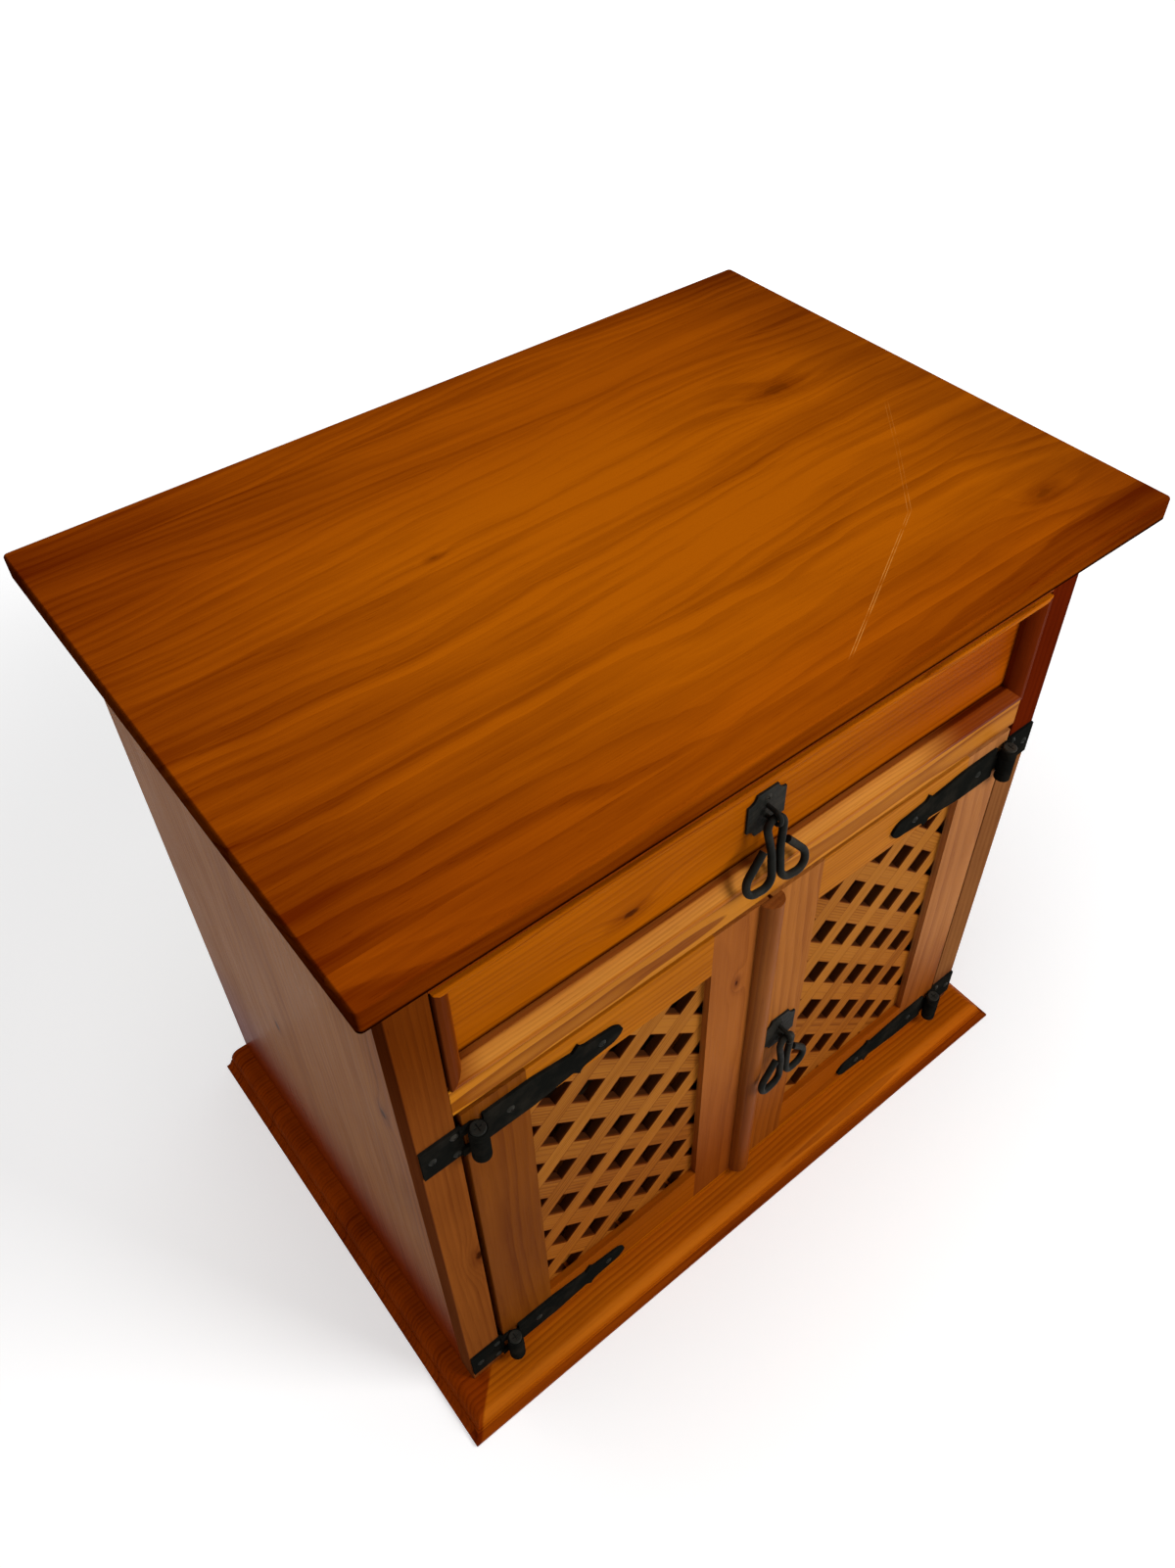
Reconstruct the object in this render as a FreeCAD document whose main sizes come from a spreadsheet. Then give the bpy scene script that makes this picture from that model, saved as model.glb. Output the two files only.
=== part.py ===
import FreeCAD, Part
import Sketcher
import math
import os

# Storage cabinet of varnished pine: a drawer over two lattice doors on black iron strap hinges.
# Millimetres. +Z is up, the front faces -Y, and the origin is on the floor under the middle.

doc = FreeCAD.newDocument("Cabinet")
sheet = doc.addObject("Spreadsheet::Sheet", "Sizes")
sheet_rows = []
parts = {}


class Size:
    """A length: its value, and the expression that gives it from the sheet."""

    def __init__(self, value, text):
        self.value = value
        self.text = text

    def __add__(self, other):
        other = as_size(other)
        return Size(self.value + other.value, "(%s + %s)" % (self.text, other.text))

    def __sub__(self, other):
        other = as_size(other)
        return Size(self.value - other.value, "(%s - %s)" % (self.text, other.text))

    def __mul__(self, share):
        return Size(self.value * share, "(%s * %r)" % (self.text, share))

    def __truediv__(self, share):
        return Size(self.value / share, "(%s / %r)" % (self.text, share))

    def __neg__(self):
        return Size(-self.value, "(0 - %s)" % self.text)


def as_size(amount):
    """A Size from a Size or a plain number."""
    if isinstance(amount, Size):
        return amount
    return Size(amount, repr(amount))


def add_row(alias, content):
    """Adds one named cell to the sheet."""
    sheet_rows.append(alias)
    cell = "B%d" % len(sheet_rows)
    sheet.set("A%d" % len(sheet_rows), alias.replace("_", " "))
    sheet.set(cell, content)
    sheet.setAlias(cell, alias)


def size(alias, value):
    """A driving size."""
    add_row(alias, str(value))
    return Size(value, "Sizes." + alias)


def derived(alias, amount):
    """A size that follows from others, kept in the sheet as a formula."""
    add_row(alias, "=" + amount.text.replace("Sizes.", ""))
    return Size(amount.value, "Sizes." + alias)


# Driving sizes: the whole
cabinet_height = size("cabinet_height", 727.5)
cabinet_depth = size("cabinet_depth", 503.8)
base_width = size("base_width", 721.8)
base_back_setback = size("base_back_setback", 2.1)
base_thickness = size("base_thickness", 20.6)
base_lower_fillet = size("base_lower_fillet", 3.0)
base_ledge = size("base_ledge", 0.8)
base_cove = size("base_cove", 5.4)
base_step = size("base_step", 1.7)
base_ovolo = size("base_ovolo", 11.2)
top_side_setback = size("top_side_setback", 0.9)
top_thickness = size("top_thickness", 21.0)
top_front_setback = size("top_front_setback", 4.0)
top_corner_round = size("top_corner_round", 4.0)
top_arris_round = size("top_arris_round", 2.0)
overrun = size("overrun", 2.0)

# Driving sizes: the carcass
body_side_setback = size("body_side_setback", 28.2)
body_setback = size("body_setback", 44.0)
side_thickness = size("side_thickness", 16.0)
back_thickness = size("back_thickness", 6.0)
frame_thickness = size("frame_thickness", 20.0)
stile_width = size("stile_width", 32.8)
top_rail_height = size("top_rail_height", 66.0)
middle_rail_height = size("middle_rail_height", 32.0)
bottom_board_thickness = size("bottom_board_thickness", 9.0)
frame_arris = size("frame_arris", 1.0)
shelf_thickness = size("shelf_thickness", 16.0)
shelf_height = size("shelf_height", 250.0)
shelf_setback = size("shelf_setback", 40.0)
shelf_gap = size("shelf_gap", 1.0)
peg_radius = size("peg_radius", 3.0)
peg_reach = size("peg_reach", 12.0)
peg_inset = size("peg_inset", 9.0)
peg_from_shelf_edge = size("peg_from_shelf_edge", 45.0)
fit_clearance = size("fit_clearance", 0.05)
seat_clearance = size("seat_clearance", 0.2)

# Driving sizes: the drawer
drawer_gap = size("drawer_gap", 1.5)
drawer_recess = size("drawer_recess", 12.2)
drawer_panel_thickness = size("drawer_panel_thickness", 12.0)
drawer_height = size("drawer_height", 116.0)
moulding_width = size("moulding_width", 14.5)
moulding_proud = size("moulding_proud", 2.5)
moulding_arris = size("moulding_arris", 1.2)
moulding_flat = size("moulding_flat", 4.5)
moulding_bevel = size("moulding_bevel", 9.7)
moulding_curve = size("moulding_curve", 16.0)
drawer_side_thickness = size("drawer_side_thickness", 12.0)
drawer_side_height = size("drawer_side_height", 88.0)
drawer_side_lift = size("drawer_side_lift", 4.0)
drawer_bottom_thickness = size("drawer_bottom_thickness", 6.0)
drawer_bottom_lift = size("drawer_bottom_lift", 8.0)
groove_depth = size("groove_depth", 6.0)
drawer_back_gap = size("drawer_back_gap", 0.5)
runner_height = size("runner_height", 18.0)
runner_guide_height = size("runner_guide_height", 22.0)
runner_guide_gap = size("runner_guide_gap", 0.8)
kicker_gap = size("kicker_gap", 1.5)
runner_setback = size("runner_setback", 1.0)

# Driving sizes: the doors
door_side_gap = size("door_side_gap", 4.4)
door_end_gap = size("door_end_gap", 2.8)
door_meeting_gap = size("door_meeting_gap", 3.2)
door_thickness = size("door_thickness", 20.0)
door_proud = size("door_proud", 1.5)
hinge_stile_width = size("hinge_stile_width", 55.5)
meeting_stile_width = size("meeting_stile_width", 58.7)
door_top_rail = size("door_top_rail", 52.6)
door_bottom_rail = size("door_bottom_rail", 52.8)
door_arris = size("door_arris", 1.2)
rebate_width = size("rebate_width", 8.0)
lattice_recess = size("lattice_recess", 7.0)
lattice_edge_gap = size("lattice_edge_gap", 1.0)
slat_width = size("slat_width", 21.0)
slat_distance = size("slat_distance", 45.0)
slat_thickness = size("slat_thickness", 8.0)
left_lattice_shift = size("left_lattice_shift", 0.75)
left_lattice_drop = size("left_lattice_drop", 7.1)
right_lattice_shift = size("right_lattice_shift", 0.65)
right_lattice_rise = size("right_lattice_rise", 2.0)
bead_radius = size("bead_radius", 11.5)
bead_relief = size("bead_relief", 0.4)
catch_width = size("catch_width", 44.0)
catch_depth = size("catch_depth", 12.0)
catch_above = size("catch_above", 15.0)
catch_below = size("catch_below", 19.0)
catch_from_middle = size("catch_from_middle", 34.0)
catch_plate_height = size("catch_plate_height", 12.0)
catch_plate_thickness = size("catch_plate_thickness", 1.2)
catch_plate_margin = size("catch_plate_margin", 7.0)

# Driving sizes: the hinges
hinge_height = size("hinge_height", 37.0)
hinge_top_inset = size("hinge_top_inset", 31.5)
hinge_bottom_inset = size("hinge_bottom_inset", 20.6)
hinge_axis_out = size("hinge_axis_out", 10.3)
hinge_axis_in = size("hinge_axis_in", 7.3)
knuckle_radius = size("knuckle_radius", 7.5)
knuckle_gap = size("knuckle_gap", 0.4)
iron_thickness = size("iron_thickness", 2.5)
hinge_pin_radius = size("hinge_pin_radius", 3.0)
pin_head_radius = size("pin_head_radius", 6.2)
pin_head_height = size("pin_head_height", 1.6)
pin_head_chamfer = size("pin_head_chamfer", 0.7)
pin_slot_half = size("pin_slot_half", 3.4)
leaf_margin = size("leaf_margin", 1.3)
leaf_clearance = size("leaf_clearance", 1.5)
web_clearance = size("web_clearance", 0.6)
strap_clearance = size("strap_clearance", 1.1)
strap_taper_start = size("strap_taper_start", 51.0)
strap_neck_distance = size("strap_neck_distance", 90.0)
strap_neck_half = size("strap_neck_half", 13.2)
strap_ear = size("strap_ear", 96.4)
strap_ear_half = size("strap_ear_half", 19.8)
strap_tongue = size("strap_tongue", 103.0)
strap_tongue_half = size("strap_tongue_half", 13.2)
strap_ear_curve = size("strap_ear_curve", 8.0)
strap_tip_start = size("strap_tip_start", 124.0)
strap_tip_half = size("strap_tip_half", 10.7)
strap_length = size("strap_length", 139.2)
strap_tip_curve = size("strap_tip_curve", 14.5)
strap_first_screw = size("strap_first_screw", 31.0)
strap_second_screw = size("strap_second_screw", 115.0)
leaf_outer_screw = size("leaf_outer_screw", 8.5)
leaf_inner_screw = size("leaf_inner_screw", 6.5)
leaf_screw_rise = size("leaf_screw_rise", 12.3)

# Driving sizes: screws and pulls
screw_head_radius = size("screw_head_radius", 3.45)
screw_head_height = size("screw_head_height", 1.6)
screw_head_dome = size("screw_head_dome", 4.5)
screw_shank_radius = size("screw_shank_radius", 1.5)
screw_length = size("screw_length", 12.0)
screw_slot_width = size("screw_slot_width", 1.0)
screw_slot_depth = size("screw_slot_depth", 0.9)
plate_width = size("plate_width", 38.8)
plate_height = size("plate_height", 44.6)
plate_thickness = size("plate_thickness", 2.0)
plate_notch_across = size("plate_notch_across", 8.65)
plate_notch_down = size("plate_notch_down", 8.1)
plate_notch_curve = size("plate_notch_curve", 8.8)
plate_screw_rise = size("plate_screw_rise", 14.5)
bail_rod_radius = size("bail_rod_radius", 3.3)
bail_pivot_out = size("bail_pivot_out", 11.5)
bail_arch_half = size("bail_arch_half", 9.8)
bail_arch_curve = size("bail_arch_curve", 8.0)
bail_waist_half = size("bail_waist_half", 4.45)
bail_waist_drop = size("bail_waist_drop", 29.5)
bail_waist_curve = size("bail_waist_curve", 24.0)
bail_length = size("bail_length", 59.9)
bail_toe_curve = size("bail_toe_curve", 10.4)
bail_loop_half = size("bail_loop_half", 30.6)
bail_heel_curve = size("bail_heel_curve", 9.8)
bail_shoulder_drop = size("bail_shoulder_drop", 44.75)
bail_shoulder_curve = size("bail_shoulder_curve", 12.5)
bail_end_out = size("bail_end_out", 12.3)
bail_end_drop = size("bail_end_drop", 25.1)
staple_rod_radius = size("staple_rod_radius", 2.0)
staple_clearance = size("staple_clearance", 0.6)
drawer_pull_rise = size("drawer_pull_rise", 61.5)
drawer_pull_from_middle = size("drawer_pull_from_middle", 4.2)
door_pull_height = size("door_pull_height", 259.2)
door_pull_from_middle = size("door_pull_from_middle", 33.2)

# Places that follow from the driving sizes
zero = Size(0.0, "0")
front = derived("front", -cabinet_depth / 2)
base_depth = derived("base_depth", cabinet_depth - base_back_setback)
back = derived("back", front + base_depth)
face = derived("face", front + body_setback)
frame_back = derived("frame_back", face + frame_thickness)
back_face = derived("back_face", back - back_thickness)
body_half = derived("body_half", base_width / 2 - body_side_setback)
inside_half = derived("inside_half", body_half - side_thickness)
opening_half = derived("opening_half", body_half - stile_width)
carcass_top = derived("carcass_top", cabinet_height - top_thickness)
top_rail_low = derived("top_rail_low", carcass_top - top_rail_height)
drawer_top = derived("drawer_top", top_rail_low - drawer_gap)
drawer_low = derived("drawer_low", drawer_top - drawer_height)
middle_rail_top = derived("middle_rail_top", drawer_low - drawer_gap)
middle_rail_low = derived("middle_rail_low", middle_rail_top - middle_rail_height)
floor_top = derived("floor_top", base_thickness + bottom_board_thickness)
door_low = derived("door_low", floor_top + door_end_gap)
door_top = derived("door_top", middle_rail_low - door_end_gap)
door_face = derived("door_face", face - door_proud)
door_back = derived("door_back", door_face + door_thickness)
door_outer = derived("door_outer", opening_half - door_side_gap)
door_inner = derived("door_inner", door_meeting_gap / 2)
lattice_outer = derived("lattice_outer", door_outer - hinge_stile_width)
lattice_inner = derived("lattice_inner", door_inner + meeting_stile_width)
lattice_low = derived("lattice_low", door_low + door_bottom_rail)
lattice_top = derived("lattice_top", door_top - door_top_rail)
hinge_axis = derived("hinge_axis", door_outer - hinge_axis_in)
hinge_line = derived("hinge_line", face - hinge_axis_out)
hinge_half = derived("hinge_half", hinge_height / 2)
top_hinge = derived("top_hinge", door_top - hinge_top_inset)
bottom_hinge = derived("bottom_hinge", door_low + hinge_bottom_inset)
panel_face = derived("panel_face", face + drawer_recess)
panel_back = derived("panel_back", panel_face + drawer_panel_thickness)
moulding_depth = derived("moulding_depth", drawer_recess + moulding_proud)
drawer_half = derived("drawer_half", opening_half - drawer_gap)
runner_top = derived("runner_top", drawer_low + drawer_side_lift)
drawer_side_low = derived("drawer_side_low", runner_top + seat_clearance)
drawer_side_top = derived("drawer_side_top", drawer_side_low + drawer_side_height)
drawer_end = derived("drawer_end", back_face - drawer_back_gap)
drawer_floor = derived("drawer_floor", drawer_side_low + drawer_bottom_lift)
runner_reach = derived("runner_reach", drawer_half - drawer_side_thickness)
bore_radius = derived("bore_radius", screw_shank_radius + fit_clearance)
doc.recompute()

ACROSS = FreeCAD.Vector(1, 0, 0)
BACKWARD = FreeCAD.Vector(0, 1, 0)
UPWARD = FreeCAD.Vector(0, 0, 1)
SIDES = (("left", -1), ("right", 1))
SLAT_DEGREES = 45
DIAGONAL_SHARE = math.sqrt(0.5)
STRAP_SHARES = {"left": 0.97, "right": 1.03}
DRAWER_BAIL_DEGREES = (13.4, 6.2, 0)
DOOR_BAIL_DEGREES = (4.4, 4.1, 5.7)


def bind(target, **amounts):
    """Binds properties of an object to expressions."""
    for name, amount in amounts.items():
        target.setExpression(name, amount.text)


def put(target, at, turn=None):
    """Places an object by expressions, after an optional turn (axis, degrees)."""
    if turn is not None:
        target.Placement = FreeCAD.Placement(FreeCAD.Vector(), FreeCAD.Rotation(turn[0], turn[1]))
    for letter, amount in zip("xyz", at):
        target.setExpression(".Placement.Base." + letter, as_size(amount).text)


def origin_plane(body, role):
    """One of a body's own origin planes."""
    for feature in body.Origin.OriginFeatures:
        if feature.Role == role:
            return feature
    raise ValueError(role)


def attach(feature, body, role, offset=(zero, zero, zero)):
    """Attaches a feature to a plane of its own body, moved by expressions in the plane's own axes."""
    feature.AttachmentSupport = [(origin_plane(body, role), "")]
    feature.MapMode = "FlatFace"
    for letter, amount in zip("xyz", offset):
        if amount is not zero:
            feature.setExpression(".AttachmentOffset.Base." + letter, amount.text)


def new_body(label):
    """A body that becomes the sub-part of that name."""
    body = doc.addObject("PartDesign::Body", label)
    body.Label = label
    return body


def keep(label, finished):
    """Names a finished object as a sub-part."""
    finished.Label = label
    parts[label] = finished
    return finished


def box(body, kind, low, extent):
    """An additive or subtractive box of a body, from its low corner."""
    feature = body.newObject("PartDesign::%sBox" % kind, "Box")
    attach(feature, body, "XY_Plane", low)
    bind(feature, Length=extent[0], Width=extent[1], Height=extent[2])
    return feature


def bore_back(body, across, up, depth, radius, start=zero):
    """A round hole that runs back (+Y) from the front of a body, as deep as given."""
    feature = body.newObject("PartDesign::SubtractiveCylinder", "Bore")
    attach(feature, body, "XZ_Plane", (across, up, -(start + depth)))
    bind(feature, Radius=radius, Height=depth + overrun)
    return feature


def bore_across(body, back_by, up, start, depth, radius):
    """A round hole along X that starts at a given place of a body."""
    feature = body.newObject("PartDesign::SubtractiveCylinder", "Bore")
    attach(feature, body, "YZ_Plane", (back_by, up, start))
    bind(feature, Radius=radius, Height=depth)
    return feature


def edge_names(shape, axis, places):
    """Names of the straight edges along an axis whose other coordinates are one of the places."""
    found = []
    others = [k for k in range(3) if k != axis]
    for index, edge in enumerate(shape.Edges):
        first, last = edge.Vertexes[0].Point, edge.Vertexes[-1].Point
        if abs(first[axis] - last[axis]) < edge.Length / 2:
            continue
        for place in places:
            near = [abs(end[k] - place[n]) < 1e-6 for end in (first, last) for n, k in enumerate(others)]
            if all(near):
                found.append("Edge%d" % (index + 1))
    return found


def ease(body, radius, axis, places):
    """Rounds the straight edges of a body that run along an axis at the given places."""
    doc.recompute()
    base = body.Tip
    numbers = [tuple(as_size(amount).value for amount in place) for place in places]
    names = edge_names(base.Shape, axis, numbers)
    fillet = body.newObject("PartDesign::Fillet", "Eased")
    fillet.Base = (base, names)
    bind(fillet, Radius=radius)
    return fillet


def outline(sketch, corners):
    """Draws a closed outline through corners (across, up), or (across, up, radius, bend) where an arc leaves
    the corner: bend is 1 for an arc that bends left, and -1 for one that bends right."""
    first = sketch.GeometryCount
    points = [FreeCAD.Vector(as_size(c[0]).value, as_size(c[1]).value, 0) for c in corners]
    starts, stops = [], []
    for index, corner in enumerate(corners):
        here, there = points[index], points[(index + 1) % len(points)]
        number = first + index
        if len(corner) == 2:
            sketch.addGeometry(Part.LineSegment(here, there), False)
            starts.append((number, 1))
            stops.append((number, 2))
            continue
        radius, bend = corner[2].value, corner[3]
        chord = there - here
        rise = math.sqrt(radius ** 2 - (chord.Length / 2) ** 2)
        left = FreeCAD.Vector(-chord.y, chord.x, 0).normalize()
        centre = (here + there) * 0.5 + left * rise * bend
        angle_here = math.atan2(here.y - centre.y, here.x - centre.x)
        angle_there = math.atan2(there.y - centre.y, there.x - centre.x)
        circle = Part.Circle(centre, UPWARD, radius)
        if bend > 0:
            sketch.addGeometry(Part.ArcOfCircle(circle, angle_here, angle_there), False)
            starts.append((number, 1))
            stops.append((number, 2))
        else:
            sketch.addGeometry(Part.ArcOfCircle(circle, angle_there, angle_here), False)
            starts.append((number, 2))
            stops.append((number, 1))
    join_outline(sketch, corners, starts, stops)


def join_outline(sketch, corners, starts, stops):
    """Joins the edges of an outline and ties every corner and radius to the sheet."""
    for index, corner in enumerate(corners):
        following = starts[(index + 1) % len(starts)]
        sketch.addConstraint(Sketcher.Constraint("Coincident", *stops[index], *following))
        for kind, axis, amount in (("DistanceX", -2, corner[0]), ("DistanceY", -1, corner[1])):
            if amount is zero:
                sketch.addConstraint(Sketcher.Constraint("PointOnObject", *starts[index], axis))
                continue
            number = sketch.addConstraint(
                Sketcher.Constraint(kind, -1, 1, *starts[index], amount.value))
            sketch.setExpression("Constraints[%d]" % number, amount.text)
        if len(corner) == 4:
            number = sketch.addConstraint(
                Sketcher.Constraint("Radius", starts[index][0], corner[2].value))
            sketch.setExpression("Constraints[%d]" % number, corner[2].text)


def sketch_on(body, role, outlines, offset=(zero, zero, zero)):
    """A sketch of closed outlines on one of a body's own planes."""
    sketch = body.newObject("Sketcher::SketchObject", "Outline")
    attach(sketch, body, role, offset)
    for corners in outlines:
        outline(sketch, corners)
    return sketch


def pad(body, sketch, length, backwards=False):
    """Pads a sketch to a length."""
    feature = body.newObject("PartDesign::Pad", "Pad")
    feature.Profile = sketch
    feature.Reversed = backwards
    bind(feature, Length=length)
    return feature


def group(label, prototype, placements):
    """Identical small pieces: copies of one shape as a group of separate solids."""
    doc.recompute()
    pieces = doc.addObject("Part::Feature", label)
    copies = []
    for placement in placements:
        copy = prototype.Shape.copy()
        copy.Placement = placement.multiply(copy.Placement)
        copies.append(copy)
    pieces.Shape = Part.makeCompound(copies)
    return keep(label, pieces)


def spot(across, back_by, up, turn=None):
    """A placement at sizes, after an optional turn (axis, degrees)."""
    rotation = FreeCAD.Rotation() if turn is None else FreeCAD.Rotation(turn[0], turn[1])
    base = FreeCAD.Vector(as_size(across).value, as_size(back_by).value, as_size(up).value)
    return FreeCAD.Placement(base, rotation)


def board(label, low, extent, cuts=(), bores=(), cross_bores=(), eased=()):
    """A board from its low corner, with rebates or grooves, bores and eased edges in its own coordinates."""
    body = new_body(label)
    put(body, low)
    box(body, "Additive", (zero, zero, zero), extent)
    for axis, places in eased:
        ease(body, frame_arris, axis, places)
    for cut_low, cut_extent in cuts:
        box(body, "Subtractive", cut_low, cut_extent)
    for across, up, depth, radius in bores:
        bore_back(body, across, up, depth, radius)
    for back_by, up, start, depth, radius in cross_bores:
        bore_across(body, back_by, up, start, depth, radius)
    return keep(label, body)


# Top and base
def make_top():
    """The top: a board with rounded corners and softened arrises."""
    body = new_body("top_panel")
    width = derived("top_width", base_width - top_side_setback * 2)
    depth = derived("top_depth", cabinet_depth - top_front_setback)
    put(body, (-width / 2, front + top_front_setback, carcass_top))
    box(body, "Additive", (zero, zero, zero), (width, depth, top_thickness))
    corners = [(zero, zero), (zero, depth), (width, zero), (width, depth)]
    ease(body, top_corner_round, 2, corners)
    doc.recompute()
    base = body.Tip
    levels = (0, top_thickness.value)
    names = []
    for index, edge in enumerate(base.Shape.Edges):
        heights = [vertex.Z for vertex in edge.Vertexes]
        if any(all(abs(height - level) < 1e-6 for height in heights) for level in levels):
            names.append("Edge%d" % (index + 1))
    fillet = body.newObject("PartDesign::Fillet", "Arrises")
    fillet.Base = (base, names)
    bind(fillet, Radius=top_arris_round)
    keep("top_panel", body)


def make_base():
    """The base: a board whose front and ends carry a fillet, a cove, a step and an ovolo, from below."""
    cove_end = base_ledge + base_cove
    ovolo_end = cove_end + base_step
    nose = ovolo_end + base_ovolo
    cove_top = base_lower_fillet + base_cove
    ovolo_low = base_thickness - base_ovolo
    lengthwise = doc.addObject("PartDesign::Body", "BaseLengthwise")
    put(lengthwise, (-base_width / 2, front, zero))
    front_outline = [
        (zero, zero), (base_depth, zero), (base_depth, base_thickness),
        (nose, base_thickness, base_ovolo, 1), (ovolo_end, ovolo_low), (ovolo_end, cove_top),
        (cove_end, cove_top, base_cove, -1), (base_ledge, base_lower_fillet), (zero, base_lower_fillet)]
    pad(lengthwise, sketch_on(lengthwise, "YZ_Plane", [front_outline]), base_width)
    crosswise = doc.addObject("PartDesign::Body", "BaseCrosswise")
    put(crosswise, (-base_width / 2, front, zero))
    end_outline = [
        (zero, zero), (base_width, zero), (base_width, base_lower_fillet),
        (base_width - base_ledge, base_lower_fillet, base_cove, -1), (base_width - cove_end, cove_top),
        (base_width - ovolo_end, cove_top),
        (base_width - ovolo_end, ovolo_low, base_ovolo, 1), (base_width - nose, base_thickness),
        (nose, base_thickness, base_ovolo, 1), (ovolo_end, ovolo_low), (ovolo_end, cove_top),
        (cove_end, cove_top, base_cove, -1), (base_ledge, base_lower_fillet), (zero, base_lower_fillet)]
    pad(crosswise, sketch_on(crosswise, "XZ_Plane", [end_outline]), base_depth, backwards=True)
    common = doc.addObject("Part::Common", "BaseBoard")
    common.Base = lengthwise
    common.Tool = crosswise
    keep("base_board", common)


# Carcass
def leaf_screw_places():
    """Screws of one hinge leaf: (distance from the stile's outer edge, height from the hinge's middle)."""
    inner = stile_width + (door_side_gap - leaf_clearance) - leaf_inner_screw
    return [(leaf_margin + leaf_outer_screw, zero), (inner, leaf_screw_rise), (inner, -leaf_screw_rise)]


def make_carcass():
    """Sides, back, bottom, face frame and shelf."""
    height = carcass_top - base_thickness
    side_depth = back - frame_back
    peg_low = shelf_height - seat_clearance - peg_radius - base_thickness
    shelf_front = frame_back + shelf_setback
    pegs_back_by = [shelf_setback + peg_from_shelf_edge, side_depth - back_thickness - peg_from_shelf_edge]
    bore = peg_radius + fit_clearance
    for side, sign in SIDES:
        low_x = -body_half if sign < 0 else inside_half
        start = side_thickness - peg_inset if sign < 0 else zero
        cross = [(place, peg_low, start, peg_inset, bore) for place in pegs_back_by]
        board("side_panel_" + side, (low_x, frame_back, base_thickness),
              (side_thickness, side_depth, height), cross_bores=cross)
        outer = zero if sign < 0 else stile_width
        inner = stile_width if sign < 0 else zero
        bores = []
        for hinge in (top_hinge, bottom_hinge):
            for place, rise in leaf_screw_places():
                across = place if sign < 0 else stile_width - place
                up = hinge + rise - base_thickness
                bores.append((across, up, screw_length - iron_thickness, bore_radius))
        board("front_stile_" + side, (-body_half if sign < 0 else opening_half, face, base_thickness),
              (stile_width, frame_thickness, height), bores=bores,
              eased=[(2, [(outer, zero), (inner, zero)])])
    opening = opening_half * 2
    board("top_rail", (-opening_half, face, top_rail_low), (opening, frame_thickness, top_rail_height),
          eased=[(0, [(zero, zero)])])
    board("middle_rail", (-opening_half, face, middle_rail_low),
          (opening, frame_thickness, middle_rail_height),
          eased=[(0, [(zero, zero), (zero, middle_rail_height)])])
    board("back_panel", (-inside_half, back_face, base_thickness), (inside_half * 2, back_thickness, height))
    bottom = new_body("bottom_board")
    put(bottom, (-inside_half, face, base_thickness))
    notch = inside_half - opening_half
    full = inside_half * 2
    depth = back_face - face
    tee = [(notch, zero), (full - notch, zero), (full - notch, frame_thickness), (full, frame_thickness),
           (full, depth), (zero, depth), (zero, frame_thickness), (notch, frame_thickness)]
    pad(bottom, sketch_on(bottom, "XY_Plane", [tee]), bottom_board_thickness)
    keep("bottom_board", bottom)
    board("shelf", (-inside_half + shelf_gap, shelf_front, shelf_height),
          ((inside_half - shelf_gap) * 2, back_face - shelf_gap - shelf_front, shelf_thickness),
          eased=[(0, [(zero, zero), (zero, shelf_thickness)])])
    make_pegs(peg_low + base_thickness, pegs_back_by)


def make_pegs(height, places):
    """Four round pegs in the sides, under the shelf."""
    peg = doc.addObject("Part::Cylinder", "Peg")
    bind(peg, Radius=peg_radius, Height=peg_inset + peg_reach)
    start = inside_half - peg_reach
    placements = []
    for place in places:
        placements.append(spot(start, frame_back + place, height, (BACKWARD, 90)))
        placements.append(spot(-start, frame_back + place, height, (BACKWARD, -90)))
    group("shelf_pegs", peg, placements)


# Drawer runners and kickers
def make_runners():
    """An L-shaped runner and guide on each side, and a kicker over each drawer side."""
    start = panel_back + runner_setback
    length = back_face - start
    reach = inside_half - runner_reach
    guide = inside_half - drawer_half - runner_guide_gap
    for side, sign in SIDES:
        body = new_body("drawer_runner_" + side)
        low = runner_top - runner_height
        if sign > 0:
            ell = [(zero, zero), (reach, zero), (reach, runner_height + runner_guide_height),
                   (reach - guide, runner_height + runner_guide_height), (reach - guide, runner_height),
                   (zero, runner_height)]
            put(body, (inside_half - reach, start, low))
        else:
            ell = [(zero, zero), (reach, zero), (reach, runner_height), (guide, runner_height),
                   (guide, runner_height + runner_guide_height), (zero, runner_height + runner_guide_height)]
            put(body, (-inside_half, start, low))
        pad(body, sketch_on(body, "XZ_Plane", [ell]), length, backwards=True)
        keep("drawer_runner_" + side, body)
    kicker = doc.addObject("Part::Box", "Kicker")
    bind(kicker, Length=reach, Width=length, Height=runner_height)
    level = drawer_side_top + kicker_gap
    group("drawer_kickers", kicker,
          [spot(-inside_half, start, level), spot(inside_half - reach, start, level)])


# Drawer
def make_moulding(label, at, length, turn=None):
    """One mitred stick of the drawer's frame moulding; its outer edge lies on its own X axis."""
    body = new_body(label)
    put(body, at, turn)
    section = [(moulding_arris, zero), (moulding_depth, zero), (moulding_depth, moulding_width),
               (moulding_bevel, moulding_width, moulding_curve, 1), (zero, moulding_flat),
               (zero, moulding_arris, moulding_arris, 1)]
    pad(body, sketch_on(body, "YZ_Plane", [section]), length)
    mitres = [[(zero, zero), (moulding_width, moulding_width), (zero, moulding_width)],
              [(length, zero), (length, moulding_width), (length - moulding_width, moulding_width)]]
    pocket = body.newObject("PartDesign::Pocket", "Mitres")
    pocket.Profile = sketch_on(body, "XZ_Plane", mitres)
    pocket.Type = "ThroughAll"
    keep(label, body)


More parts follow.
